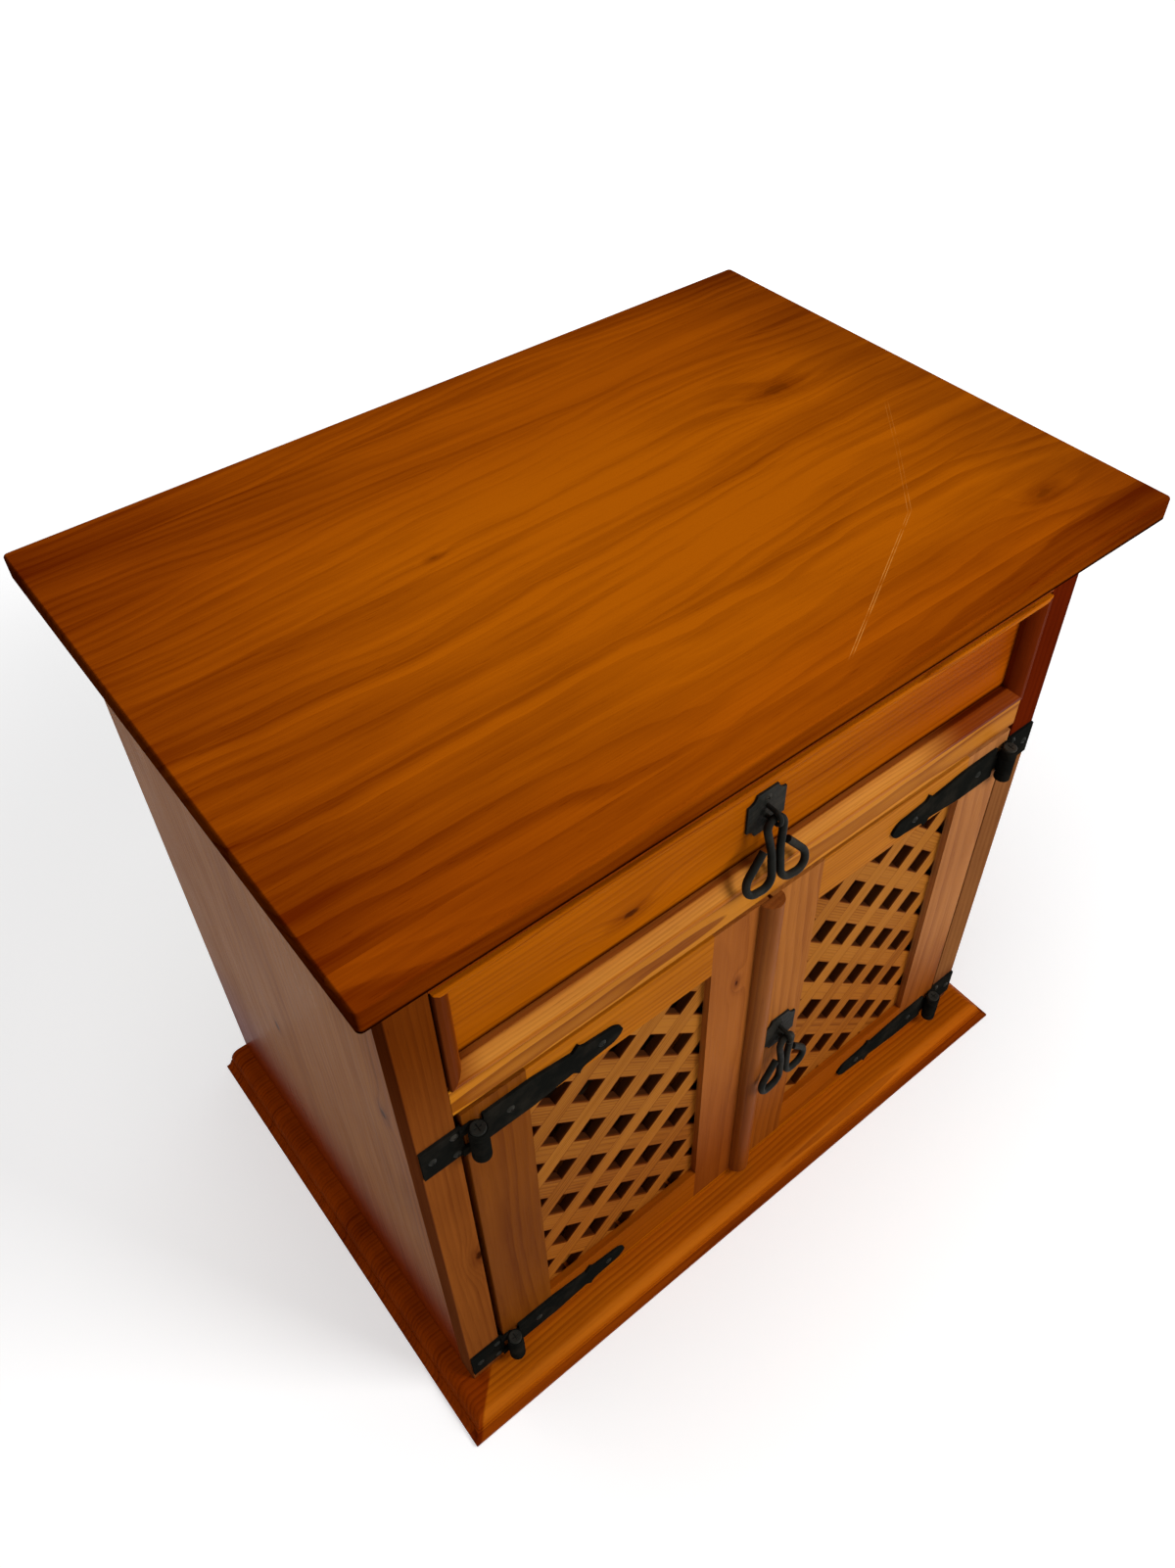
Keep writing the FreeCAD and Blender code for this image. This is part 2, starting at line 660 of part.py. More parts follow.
def make_drawer():
    """Drawer: recessed panel with a mitred moulding round it, sides, back and a bottom in grooves."""
    width = drawer_half * 2
    pull_across = drawer_half - drawer_pull_from_middle
    screw_rows = [drawer_pull_rise + plate_screw_rise, drawer_pull_rise - plate_screw_rise]
    body = new_body("drawer_panel")
    put(body, (-drawer_half, panel_face, drawer_low))
    box(body, "Additive", (zero, zero, zero), (width, drawer_panel_thickness, drawer_height))
    groove_inset = drawer_side_thickness - groove_depth
    groove_low = (groove_inset, drawer_panel_thickness - groove_depth, drawer_floor - drawer_low)
    box(body, "Subtractive", groove_low,
        (width - groove_inset * 2, groove_depth + overrun, drawer_bottom_thickness))
    for row in screw_rows:
        bore_back(body, pull_across, row, screw_length - plate_thickness, bore_radius)
    keep("drawer_panel", body)
    crown = face - moulding_proud
    make_moulding("drawer_moulding_bottom", (-drawer_half, crown, drawer_low), width)
    make_moulding("drawer_moulding_top", (drawer_half, crown, drawer_top), width, (BACKWARD, 180))
    make_moulding("drawer_moulding_left", (-drawer_half, crown, drawer_top), drawer_height, (BACKWARD, 90))
    make_moulding("drawer_moulding_right", (drawer_half, crown, drawer_low), drawer_height, (BACKWARD, -90))
    length = drawer_end - panel_back
    for side, sign in SIDES:
        low_x = -drawer_half if sign < 0 else runner_reach
        cut_x = drawer_side_thickness - groove_depth if sign < 0 else -overrun
        cut = ((cut_x, -overrun, drawer_bottom_lift),
               (groove_depth + overrun, length + overrun * 2, drawer_bottom_thickness))
        board("drawer_side_" + side, (low_x, panel_back, drawer_side_low),
              (drawer_side_thickness, length, drawer_side_height), cuts=[cut])
    board("drawer_bottom", (-(runner_reach + groove_depth), panel_back - groove_depth, drawer_floor),
          ((runner_reach + groove_depth) * 2, length + groove_depth, drawer_bottom_thickness))
    back_low = drawer_floor + drawer_bottom_thickness
    board("drawer_back", (-runner_reach, drawer_end - drawer_side_thickness, back_low),
          (runner_reach * 2, drawer_side_thickness, drawer_side_top - back_low))


# Doors
def make_door_frame(side, sign):
    """Stiles and rails of one door, with a rebate from the back round the opening for the lattice."""
    height = door_top - door_low
    rebate_depth = door_thickness - lattice_recess
    rebate_low = door_bottom_rail - rebate_width
    rebate_height = lattice_top - lattice_low + rebate_width * 2
    screw_depth = screw_length - iron_thickness
    hinge_rows = [top_hinge - door_low, bottom_hinge - door_low]
    near = hinge_axis_in + strap_first_screw
    for name, outer in (("hinge_stile", True), ("meeting_stile", False)):
        stile = hinge_stile_width if outer else meeting_stile_width
        inner_edge_right = (sign < 0) == outer
        if outer:
            low_x = -door_outer if sign < 0 else lattice_outer
        else:
            low_x = -lattice_inner if sign < 0 else door_inner
        cut_x = stile - rebate_width if inner_edge_right else -overrun
        cut = ((cut_x, lattice_recess, rebate_low),
               (rebate_width + overrun, rebate_depth + overrun, rebate_height))
        bores = []
        if outer:
            across = near if sign < 0 else stile - near
            bores = [(across, row, screw_depth, bore_radius) for row in hinge_rows]
        elif sign > 0:
            across = door_pull_from_middle - door_inner
            rows = [door_pull_height + plate_screw_rise, door_pull_height - plate_screw_rise]
            bores = [(across, row - door_low, screw_length - plate_thickness, bore_radius) for row in rows]
        free = zero if inner_edge_right else stile
        board("%s_door_%s" % (side, name), (low_x, door_face, door_low),
              (stile, door_thickness, height), cuts=[cut], bores=bores,
              eased=[(2, [(free, zero)])])
    length = lattice_outer - lattice_inner
    low_x = -lattice_outer if sign < 0 else lattice_inner
    far = strap_second_screw + hinge_axis_in - hinge_stile_width
    across = far if sign < 0 else length - far
    board("%s_door_top_rail" % side, (low_x, door_face, lattice_top),
          (length, door_thickness, door_top_rail),
          cuts=[((-overrun, lattice_recess, -overrun),
                 (length + overrun * 2, rebate_depth + overrun, rebate_width + overrun))],
          bores=[(across, top_hinge - lattice_top, screw_depth, bore_radius)],
          eased=[(0, [(zero, door_top_rail)])])
    board("%s_door_bottom_rail" % side, (low_x, door_face, door_low),
          (length, door_thickness, door_bottom_rail),
          cuts=[((-overrun, lattice_recess, rebate_low),
                 (length + overrun * 2, rebate_depth + overrun, rebate_width + overrun))],
          bores=[(across, bottom_hinge - door_low, screw_depth, bore_radius)],
          eased=[(0, [(zero, zero)])])


def slat_rows(middle_x, middle_z, reach, depth, thickness, slope):
    """Parallel 45 degree slats about a middle point: rising to +X for slope 1, falling for slope -1."""
    count = math.ceil(reach.value / slat_distance.value / 2)
    slats = []
    for step in range(-count, count + 1):
        slat = doc.addObject("Part::Box", "Slat")
        bind(slat, Length=reach * 2, Width=thickness, Height=slat_width)
        along = -reach * DIAGONAL_SHARE
        across = slat_distance * (step * DIAGONAL_SHARE) - slat_width * (DIAGONAL_SHARE / 2)
        put(slat, (middle_x + along - across * slope, depth, middle_z + along * slope + across),
            (BACKWARD, -SLAT_DEGREES * slope))
        slats.append(slat)
    rows = doc.addObject("Part::Compound", "Slats")
    rows.Links = slats
    return rows


def make_lattice(side, sign, shift, rise):
    """Crossed slats at 45 degrees, halved where they cross, and the strips that hold them in the rebate."""
    margin = rebate_width - lattice_edge_gap
    low_x = (-lattice_outer if sign < 0 else lattice_inner) - margin
    width = lattice_outer - lattice_inner + margin * 2
    low_z = lattice_low - margin
    height = lattice_top - lattice_low + margin * 2
    middle_x = low_x + width / 2 + shift
    middle_z = low_z + height / 2 + rise
    reach = (width + height) * DIAGONAL_SHARE + slat_distance
    depth = door_face + lattice_recess
    half = slat_thickness / 2
    for name, slope, crossing_depth in (("front", 1, depth + half), ("back", -1, depth)):
        rows = slat_rows(middle_x, middle_z, reach, depth, slat_thickness, slope)
        crossing = slat_rows(middle_x, middle_z, reach, crossing_depth, half, -slope)
        halved = doc.addObject("Part::Cut", "Halved")
        halved.Base = rows
        halved.Tool = crossing
        frame = doc.addObject("Part::Box", "Frame")
        bind(frame, Length=width, Width=slat_thickness, Height=height)
        put(frame, (low_x, depth, low_z))
        cut = doc.addObject("Part::Common", "Lattice")
        cut.Base = halved
        cut.Tool = frame
        keep("%s_lattice_%s_slats" % (side, name), cut)
    strip_depth = door_thickness - lattice_recess - slat_thickness
    strip_y = door_back - strip_depth
    outer_width = lattice_outer - lattice_inner + rebate_width * 2
    outer_height = lattice_top - lattice_low + rebate_width * 2
    strip_x = (-lattice_outer if sign < 0 else lattice_inner) - rebate_width
    strip_z = lattice_low - rebate_width
    upright = (rebate_width, strip_depth, outer_height)
    level = (outer_width - rebate_width * 2, strip_depth, rebate_width)
    strips = []
    for low, extent in (
            ((strip_x, strip_y, strip_z), upright),
            ((strip_x + outer_width - rebate_width, strip_y, strip_z), upright),
            ((strip_x + rebate_width, strip_y, strip_z), level),
            ((strip_x + rebate_width, strip_y, strip_z + outer_height - rebate_width), level)):
        strip = doc.addObject("Part::Box", "Strip")
        bind(strip, Length=extent[0], Width=extent[1], Height=extent[2])
        put(strip, low)
        strips.append(strip)
    holders = doc.addObject("Part::Compound", "Strips")
    holders.Links = strips
    keep("%s_lattice_strips" % side, holders)


def make_bead():
    """Half-round bead on the right door's meeting edge; it laps the left door without touching it."""
    body = new_body("right_door_bead")
    height = door_top - door_low
    put(body, (-bead_radius, door_face - bead_radius, door_low))
    half_round = [(zero, bead_radius, bead_radius, 1), (bead_radius, zero, bead_radius, 1),
                  (bead_radius * 2, bead_radius)]
    pad(body, sketch_on(body, "XY_Plane", [half_round]), height)
    box(body, "Subtractive", (-overrun, bead_radius - bead_relief, -overrun),
        (overrun + bead_radius + door_inner, bead_relief + overrun, height + overrun * 2))
    keep("right_door_bead", body)


def make_catches():
    """A magnetic catch behind the middle rail for each door, and a steel plate on each door's back."""
    catch = doc.addObject("Part::Box", "Catch")
    bind(catch, Length=catch_width, Width=catch_depth, Height=catch_above + catch_below)
    low = middle_rail_low - catch_below
    group("magnet_catches", catch, [spot(-(catch_from_middle + catch_width), frame_back, low),
                                    spot(catch_from_middle, frame_back, low)])
    for side, sign in SIDES:
        low_x = -(catch_from_middle + catch_width - catch_plate_margin) if sign < 0 \
            else catch_from_middle + catch_plate_margin
        board("%s_catch_plate" % side, (low_x, door_back, middle_rail_low - catch_below + frame_arris),
              (catch_width - catch_plate_margin * 2, catch_plate_thickness, catch_plate_height))


# Hinges
def make_strap(side, side_sign, level, middle):
    """Strap of one hinge on its door: a tapered plate with two ears and a tongue, and the middle knuckle.
    The forged straps of the two sides differ a little in length."""
    label = "%s_strap_%s" % (side, level)
    stretch = STRAP_SHARES[side]
    neck, ear, tongue = strap_neck_distance * stretch, strap_ear * stretch, strap_tongue * stretch
    tip, end = strap_tip_start * stretch, strap_length * stretch
    body = new_body(label)
    if side_sign < 0:
        put(body, (-hinge_axis, hinge_line, middle - strap_ear_half))
    else:
        put(body, (hinge_axis, hinge_line, middle + strap_ear_half), (BACKWARD, 180))
    knuckle = hinge_height / 4 + knuckle_gap / 2
    start = knuckle_radius + strap_clearance
    centre = strap_ear_half
    plate_back = hinge_axis_out - door_proud
    low, high = centre - hinge_half, centre + hinge_half
    plate = [
        (zero, low + knuckle), (start, low + knuckle), (start, low), (strap_taper_start, low),
        (neck, centre - strap_neck_half), (ear, zero, strap_ear_curve, -1),
        (tongue, centre - strap_tongue_half),
        (tip, centre - strap_tip_half, strap_tip_curve, 1),
        (end, centre, strap_tip_curve, 1),
        (tip, centre + strap_tip_half),
        (tongue, centre + strap_tongue_half, strap_ear_curve, -1),
        (ear, centre + strap_ear_half),
        (neck, centre + strap_neck_half), (strap_taper_start, high), (start, high),
        (start, high - knuckle), (zero, high - knuckle)]
    pad(body, sketch_on(body, "XZ_Plane", [plate], (zero, zero, -plate_back)), iron_thickness)
    barrel = body.newObject("PartDesign::AdditiveCylinder", "Knuckle")
    attach(barrel, body, "XY_Plane", (zero, zero, low + knuckle))
    bind(barrel, Radius=knuckle_radius, Height=hinge_height - knuckle * 2)
    bore = body.newObject("PartDesign::SubtractiveCylinder", "PinBore")
    attach(bore, body, "XY_Plane")
    bind(bore, Radius=hinge_pin_radius + fit_clearance, Height=strap_ear_half * 2)
    for place in (strap_first_screw, strap_second_screw):
        bore_back(body, place, centre, iron_thickness + overrun, bore_radius,
                  start=plate_back - iron_thickness)
    keep(label, body)


def make_leaves(side, sign):
    """The two fixed leaves of one side, each a plate on the stile with an upper and a lower knuckle."""
    leaf = doc.addObject("PartDesign::Body", "Leaf")
    start = hinge_axis_in + leaf_clearance
    end = body_half - leaf_margin - hinge_axis
    quarter = hinge_height / 4 - knuckle_gap / 2
    web_back = hinge_axis_out - door_proud - web_clearance
    box(leaf, "Additive", (start, hinge_axis_out - iron_thickness, zero),
        (end - start, iron_thickness, hinge_height))
    for low in (zero, hinge_height - quarter):
        box(leaf, "Additive", (start, web_back - iron_thickness, low),
            (iron_thickness, hinge_axis_out - web_back + iron_thickness, quarter))
        box(leaf, "Additive", (zero, web_back - iron_thickness, low),
            (start + iron_thickness, iron_thickness, quarter))
        barrel = leaf.newObject("PartDesign::AdditiveCylinder", "Knuckle")
        attach(barrel, leaf, "XY_Plane", (zero, zero, low))
        bind(barrel, Radius=knuckle_radius, Height=quarter)
    bore = leaf.newObject("PartDesign::SubtractiveCylinder", "PinBore")
    attach(bore, leaf, "XY_Plane")
    bind(bore, Radius=hinge_pin_radius + fit_clearance, Height=hinge_height)
    for place, rise in leaf_screw_places():
        across = body_half - hinge_axis - place
        bore_back(leaf, across, hinge_half + rise, iron_thickness + overrun, bore_radius,
                  start=hinge_axis_out - iron_thickness)
    placements = []
    for middle in (top_hinge, bottom_hinge):
        if sign > 0:
            placements.append(spot(hinge_axis, hinge_line, middle - hinge_half))
        else:
            placements.append(spot(-hinge_axis, hinge_line, middle + hinge_half, (BACKWARD, 180)))
    group("hinge_leaves_" + side, leaf, placements)


def make_pins():
    """Four hinge pins with a flat head at each end, the upper one with a crossed slot."""
    pin = doc.addObject("PartDesign::Body", "Pin")
    narrow = pin_head_radius - pin_head_chamfer
    upper = pin_head_height + hinge_height
    total = upper + pin_head_height
    half = [(zero, zero), (narrow, zero),
            (pin_head_radius, pin_head_chamfer), (pin_head_radius, pin_head_height),
            (hinge_pin_radius, pin_head_height), (hinge_pin_radius, upper), (pin_head_radius, upper),
            (pin_head_radius, total - pin_head_chamfer), (narrow, total), (zero, total)]
    sketch = sketch_on(pin, "XZ_Plane", [half])
    turned = pin.newObject("PartDesign::Revolution", "Turned")
    turned.Profile = sketch
    turned.ReferenceAxis = (sketch, ["V_Axis"])
    turned.Angle = 360
    places = []
    for sign in (-1, 1):
        for middle in (top_hinge, bottom_hinge):
            places.append(spot(hinge_axis * sign, hinge_line, middle - hinge_half - pin_head_height))
    group("hinge_pins", crossed(pin, pin_slot_half, total, True), places)


# Screws
def crossed(turned, slot_half, top, upright):
    """A turned piece with a crossed slot in its head. The head ends at top, on the Z axis if the piece is
    upright and else on the Y axis."""
    piece = turned
    floor, depth = top - screw_slot_depth, screw_slot_depth + overrun
    for half_length, half_width in ((slot_half, screw_slot_width / 2), (screw_slot_width / 2, slot_half)):
        low, extent = (-half_length, floor, -half_width), (half_length * 2, depth, half_width * 2)
        if upright:
            low, extent = (low[0], low[2], low[1]), (extent[0], extent[2], extent[1])
        slot = doc.addObject("Part::Box", "Slot")
        bind(slot, Length=extent[0], Width=extent[1], Height=extent[2])
        put(slot, low)
        cut = doc.addObject("Part::Cut", "Slotted")
        cut.Base = piece
        cut.Tool = slot
        piece = cut
    return piece


def make_screw():
    """A domed screw with a crossed slot; its head seats at its own origin and its shank runs back (+Y)."""
    turned = doc.addObject("PartDesign::Body", "ScrewTurned")
    total = screw_length + screw_head_height
    half = [(zero, zero), (screw_shank_radius, zero), (screw_shank_radius, screw_length),
            (screw_head_radius, screw_length, screw_head_dome, 1), (zero, total)]
    sketch = sketch_on(turned, "XY_Plane", [half])
    revolution = turned.newObject("PartDesign::Revolution", "Turned")
    revolution.Profile = sketch
    revolution.ReferenceAxis = (sketch, ["V_Axis"])
    revolution.Angle = 360
    return crossed(turned, screw_head_radius / 2, total, False)


def make_screws(screw):
    """Screws of the leaves, straps and pull plates, grouped by the body that they hold on to."""
    upright = (UPWARD, 180)

    def place(across, seat, up):
        return spot(across, seat + screw_length, up, upright)

    leaf_places = []
    for sign in (-1, 1):
        for middle in (top_hinge, bottom_hinge):
            for from_edge, rise in leaf_screw_places():
                across = (body_half - from_edge) * sign
                leaf_places.append(place(across, face - iron_thickness, middle + rise))
    group("leaf_screws", screw, leaf_places)
    strap_places = {}
    for side, sign in SIDES:
        strap_places[side] = []
        for middle in (top_hinge, bottom_hinge):
            for along in (strap_first_screw, strap_second_screw):
                strap_places[side].append(
                    place((hinge_axis - along) * sign, door_face - iron_thickness, middle))
    rows = (plate_screw_rise, -plate_screw_rise)
    for row in rows:
        strap_places["right"].append(
            place(door_pull_from_middle, door_face - plate_thickness, door_pull_height + row))
    group("left_door_screws", screw, strap_places["left"])
    group("right_door_screws", screw, strap_places["right"])
    group("drawer_pull_screws", screw,
          [place(-drawer_pull_from_middle, panel_face - plate_thickness, drawer_low + drawer_pull_rise + row)
           for row in rows])


# Pulls
def rod_path(points, radii):
    """A wire of straight runs through points, with a tangent arc of the given radius at each inner point."""
    edges = []
    here = points[0]
    for index in range(1, len(points) - 1):
        corner = points[index]
        before = (corner - points[index - 1]).normalize()
        after = (points[index + 1] - corner).normalize()
        turn = before.getAngle(after)
        reach = radii[index - 1] * math.tan(turn / 2)
        start = corner - before * reach
        stop = corner + after * reach
        inward = (after - before).normalize()
        middle = corner + inward * (radii[index - 1] / math.cos(turn / 2) - radii[index - 1])
        edges.append(Part.LineSegment(here, start).toShape())
        edges.append(Part.Arc(start, middle, stop).toShape())
        here = stop
    edges.append(Part.LineSegment(here, points[-1]).toShape())
    return Part.Wire(edges)


def swept_rod(path, radius):
    """A round rod along a wire."""
    first = path.OrderedVertexes[0].Point
    tangent = path.OrderedEdges[0].tangentAt(path.OrderedEdges[0].FirstParameter)
    section = Part.Wire(Part.makeCircle(radius, first, tangent))
    return path.makePipeShell([section], True, False)


def bail_shape():
    """The bail: one rod bent to an arch, a narrow waist and a loop each side; its pivot is its origin."""
    half = [(bail_arch_half, zero), (bail_waist_half, bail_waist_drop), (bail_waist_half, bail_length),
            (bail_loop_half, bail_length), (bail_loop_half, bail_shoulder_drop),
            (bail_end_out, bail_end_drop)]
    curves = [bail_arch_curve, bail_waist_curve, bail_toe_curve, bail_heel_curve, bail_shoulder_curve]
    right = [FreeCAD.Vector(out.value, 0, -drop.value) for out, drop in half]
    left = [FreeCAD.Vector(-point.x, 0, point.z) for point in reversed(right)]
    radii = [curve.value for curve in curves]
    return swept_rod(rod_path(left + right, list(reversed(radii)) + radii), bail_rod_radius.value)


def staple_shape():
    """The staple: a U of round rod in the vertical plane, from the plate's face round the bail's rod."""
    bend = bail_rod_radius + staple_clearance + staple_rod_radius
    leg = bail_pivot_out - plate_thickness
    points = [FreeCAD.Vector(0, leg.value, bend.value), FreeCAD.Vector(0, -bend.value, bend.value),
              FreeCAD.Vector(0, -bend.value, -bend.value), FreeCAD.Vector(0, leg.value, -bend.value)]
    edges = [Part.LineSegment(points[0], FreeCAD.Vector(0, 0, bend.value)).toShape(),
             Part.Arc(FreeCAD.Vector(0, 0, bend.value), FreeCAD.Vector(0, -bend.value, 0),
                      FreeCAD.Vector(0, 0, -bend.value)).toShape(),
             Part.LineSegment(FreeCAD.Vector(0, 0, -bend.value), points[3]).toShape()]
    return swept_rod(Part.Wire(edges), staple_rod_radius.value)


def make_pull(plate_label, staple_label, bail_label, across, seat, up, degrees):
    """One pull: plate with coved corners, staple and bail. Seat is the face of the wood behind it. The
    degrees are how the loose bail rests in its staple: how far it leans out, turns aside and twists."""
    body = new_body(plate_label)
    put(body, (across - plate_width / 2, seat - plate_thickness, up - plate_height / 2))
    shape = [
        (plate_notch_across, zero), (plate_width - plate_notch_across, zero, plate_notch_curve, -1),
        (plate_width, plate_notch_down),
        (plate_width, plate_height - plate_notch_down, plate_notch_curve, -1),
        (plate_width - plate_notch_across, plate_height),
        (plate_notch_across, plate_height, plate_notch_curve, -1),
        (zero, plate_height - plate_notch_down), (zero, plate_notch_down, plate_notch_curve, -1)]
    pad(body, sketch_on(body, "XZ_Plane", [shape]), plate_thickness, backwards=True)
    for rise in (plate_screw_rise, -plate_screw_rise):
        bore_back(body, plate_width / 2, plate_height / 2 + rise, plate_thickness + overrun, bore_radius)
    keep(plate_label, body)
    lean, aside, twist = degrees
    turned = FreeCAD.Rotation(UPWARD, twist)
    turned = turned.multiply(FreeCAD.Rotation(ACROSS, -lean))
    turned = turned.multiply(FreeCAD.Rotation(BACKWARD, aside))
    staple = doc.addObject("Part::Feature", staple_label)
    staple.Shape = staple_shape()
    staple.Placement = spot(across, seat - bail_pivot_out, up)
    keep(staple_label, staple)
    bail = doc.addObject("Part::Feature", bail_label)
    bail.Shape = bail_shape()
    bail.Placement = FreeCAD.Placement(spot(across, seat - bail_pivot_out, up).Base, turned)
    keep(bail_label, bail)


def make_pulls():
    """The drawer's pull and the right door's pull."""
    make_pull("drawer_pull_plate", "drawer_pull_staple", "drawer_pull_bail",
              -drawer_pull_from_middle, panel_face, drawer_low + drawer_pull_rise, DRAWER_BAIL_DEGREES)
    make_pull("door_pull_plate", "door_pull_staple", "door_pull_bail",
              door_pull_from_middle, door_face, door_pull_height, DOOR_BAIL_DEGREES)


make_top()
make_base()
make_carcass()
make_runners()
make_drawer()
for side_name, side_sign in SIDES:
    make_door_frame(side_name, side_sign)
make_lattice("left", -1, left_lattice_shift, -left_lattice_drop)
make_lattice("right", 1, -right_lattice_shift, right_lattice_rise)
make_bead()
make_catches()
for side_name, side_sign in SIDES:
    make_strap(side_name, side_sign, "top", top_hinge)
    make_strap(side_name, side_sign, "bottom", bottom_hinge)
    make_leaves(side_name, side_sign)
make_pins()
make_screws(make_screw())
make_pulls()
doc.recompute()

# Nothing is written unless every object and every shape is sound
for item in doc.Objects:
    for word in ("Invalid", "Error"):
        if word in item.State:
            raise RuntimeError("%s is %s" % (item.Label, word))
for node, item in parts.items():
    if item.Shape.isNull() or not item.Shape.isValid():
        raise RuntimeError("%s has no sound shape" % node)

os.makedirs("parts", exist_ok=True)
for node, item in parts.items():
    item.Shape.exportStep("parts/%s.step" % node)
print("%d parts written" % len(parts))
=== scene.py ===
import math

import bpy
from mathutils import Euler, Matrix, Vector


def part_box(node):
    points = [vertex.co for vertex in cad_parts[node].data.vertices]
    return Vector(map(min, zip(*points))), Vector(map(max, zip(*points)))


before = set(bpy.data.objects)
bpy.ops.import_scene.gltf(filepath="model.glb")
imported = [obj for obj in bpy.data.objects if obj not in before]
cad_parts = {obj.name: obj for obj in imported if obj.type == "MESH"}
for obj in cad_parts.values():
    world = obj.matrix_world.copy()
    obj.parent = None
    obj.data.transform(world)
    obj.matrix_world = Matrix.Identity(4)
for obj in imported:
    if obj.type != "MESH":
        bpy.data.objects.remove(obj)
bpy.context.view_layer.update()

# Storage cabinet of varnished pine with black iron fittings. Metres, +Z up, front towards -Y. The solids have
# every shape that shows, so this script gives them materials and sets the light, floor and camera.
MILLIMETRE = 0.001
AXES = "xyz"


# Places
def inside(node, side, start, full):
    """Two places counted inward in millimetres from a side of a node's box, such as z+ for its top."""
    low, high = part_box(node)
    axis = AXES.index(side[0])
    if side[1] == "+":
        return tuple(high[axis] - depth * MILLIMETRE for depth in (start, full))
    return tuple(low[axis] + depth * MILLIMETRE for depth in (start, full))


def between(node, axis, start, full):
    """Two places in a node's box as shares of it along an axis, from 0 at its low side to 1 at the other."""
    low, high = (corner[AXES.index(axis)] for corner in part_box(node))
    return tuple(low + (high - low) * share for share in (start, full))


# Places on the top are counted right and back from its front left corner
TOP_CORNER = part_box("top_panel")[0]
ACROSS_COUNT = 0.720 * MILLIMETRE
BACK_COUNT = 0.717 * MILLIMETRE
HALF_COUNT = 0.5


def top_x(count):
    return TOP_CORNER.x + (count + HALF_COUNT) * ACROSS_COUNT


def top_y(count):
    return TOP_CORNER.y + count * BACK_COUNT


# Node trees
class Graph:
    """Short calls that build a node tree."""

    def __init__(self, tree):
        self.tree = tree
        tree.nodes.clear()

    def add(self, kind, **settings):
        node = self.tree.nodes.new(kind)
        for name, value in settings.items():
            setattr(node, name, value)
        return node

    def feed(self, socket, value):
        if isinstance(value, bpy.types.NodeSocket):
            self.tree.links.new(value, socket)
        else:
            socket.default_value = value

    def math(self, operation, *values):
        node = self.add("ShaderNodeMath", operation=operation)
        for socket, value in zip(node.inputs, values):
            self.feed(socket, value)
        return node.outputs[0]

    def sum(self, *values):
        total = values[0]
        for value in values[1:]:
            total = self.math("ADD", total, value)
        return total

    def times(self, *values):
        total = values[0]
        for value in values[1:]:
            total = self.math("MULTIPLY", total, value)
        return total

    def minus(self, first, second):
        return self.math("SUBTRACT", first, second)

    def over(self, first, second):
        return self.math("DIVIDE", first, second)

    def largest(self, *values):
        total = values[0]
        for value in values[1:]:
            total = self.math("MAXIMUM", total, value)
        return total

    def length(self, first, second):
        return self.math("SQRT", self.sum(self.times(first, first), self.times(second, second)))

    def step(self, value, low, high):
        """0 below low, 1 above high, smooth between (low may be above high)."""
        node = self.add("ShaderNodeMapRange", interpolation_type="SMOOTHSTEP")
        for name, amount in (("Value", value), ("From Min", low), ("From Max", high)):
            self.feed(node.inputs[name], amount)
        return node.outputs[0]

    def place(self):
        """The point in the frame of the part at rest."""
        return self.add("ShaderNodeTexCoord").outputs["Object"]

    def vector(self, x, y, z):
        node = self.add("ShaderNodeCombineXYZ")
        for socket, value in zip(node.inputs, (x, y, z)):
            self.feed(socket, value)
        return node.outputs[0]

    def split(self, vector):
        node = self.add("ShaderNodeSeparateXYZ")
        self.feed(node.inputs[0], vector)
        return node.outputs

    def noise(self, vector, scale=1.0, detail=2.0, roughness=0.5):
        """Noise about 0, from -0.5 to 0.5."""
        node = self.add("ShaderNodeTexNoise")
        self.feed(node.inputs["Vector"], vector)
        self.feed(node.inputs["Scale"], scale)
        self.feed(node.inputs["Detail"], detail)
        self.feed(node.inputs["Roughness"], roughness)
        return self.minus(node.outputs[0], 0.5)

    def mix(self, share, first, second, blend="MIX"):
        node = self.add("ShaderNodeMix", data_type="RGBA", blend_type=blend)
        self.feed(node.inputs[0], share)
        for socket, colour in ((node.inputs[6], first), (node.inputs[7], second)):
            self.feed(socket, colour if isinstance(colour, bpy.types.NodeSocket) else (*colour, 1.0))
        return node.outputs[2]

    def surface(self, colour, roughness, height, distance, shine=None, tint=None, metallic=0.0):
        """A shaded surface whose height, in shares of a distance, gives its fine relief."""
        bump = self.add("ShaderNodeBump")
        self.feed(bump.inputs["Height"], height)
        self.feed(bump.inputs["Distance"], distance)
        shader = self.add("ShaderNodeBsdfPrincipled")
        self.feed(shader.inputs["Base Color"], colour)
        self.feed(shader.inputs["Roughness"], roughness)
        self.feed(shader.inputs["Normal"], bump.outputs[0])
        shader.inputs["Metallic"].default_value = metallic
        if shine is not None:
            shader.inputs["Specular IOR Level"].default_value = shine
        if tint is not None:
            shader.inputs["Specular Tint"].default_value = (*tint, 1.0)
        self.finish(shader)

    def finish(self, shader):
        self.feed(self.add("ShaderNodeOutputMaterial").inputs[0], shader.outputs[0])


def new_material(name):
    material = bpy.data.materials.new(name)
    material.use_nodes = True
    return material, Graph(material.node_tree)


def shaded(colour, factors):
    return tuple(channel * factor for channel, factor in zip(colour, factors))


def hashed(text):
    """A steady number from 0 to 1 for a name."""
    letters_factor, letters_prime = 131, 1000003
    last_factor, last_prime = 48271, 2147483647
    number = 7
    for letter in text:
        number = (number * letters_factor + ord(letter)) % letters_prime
    return (number * last_factor + 11) % last_prime / last_prime


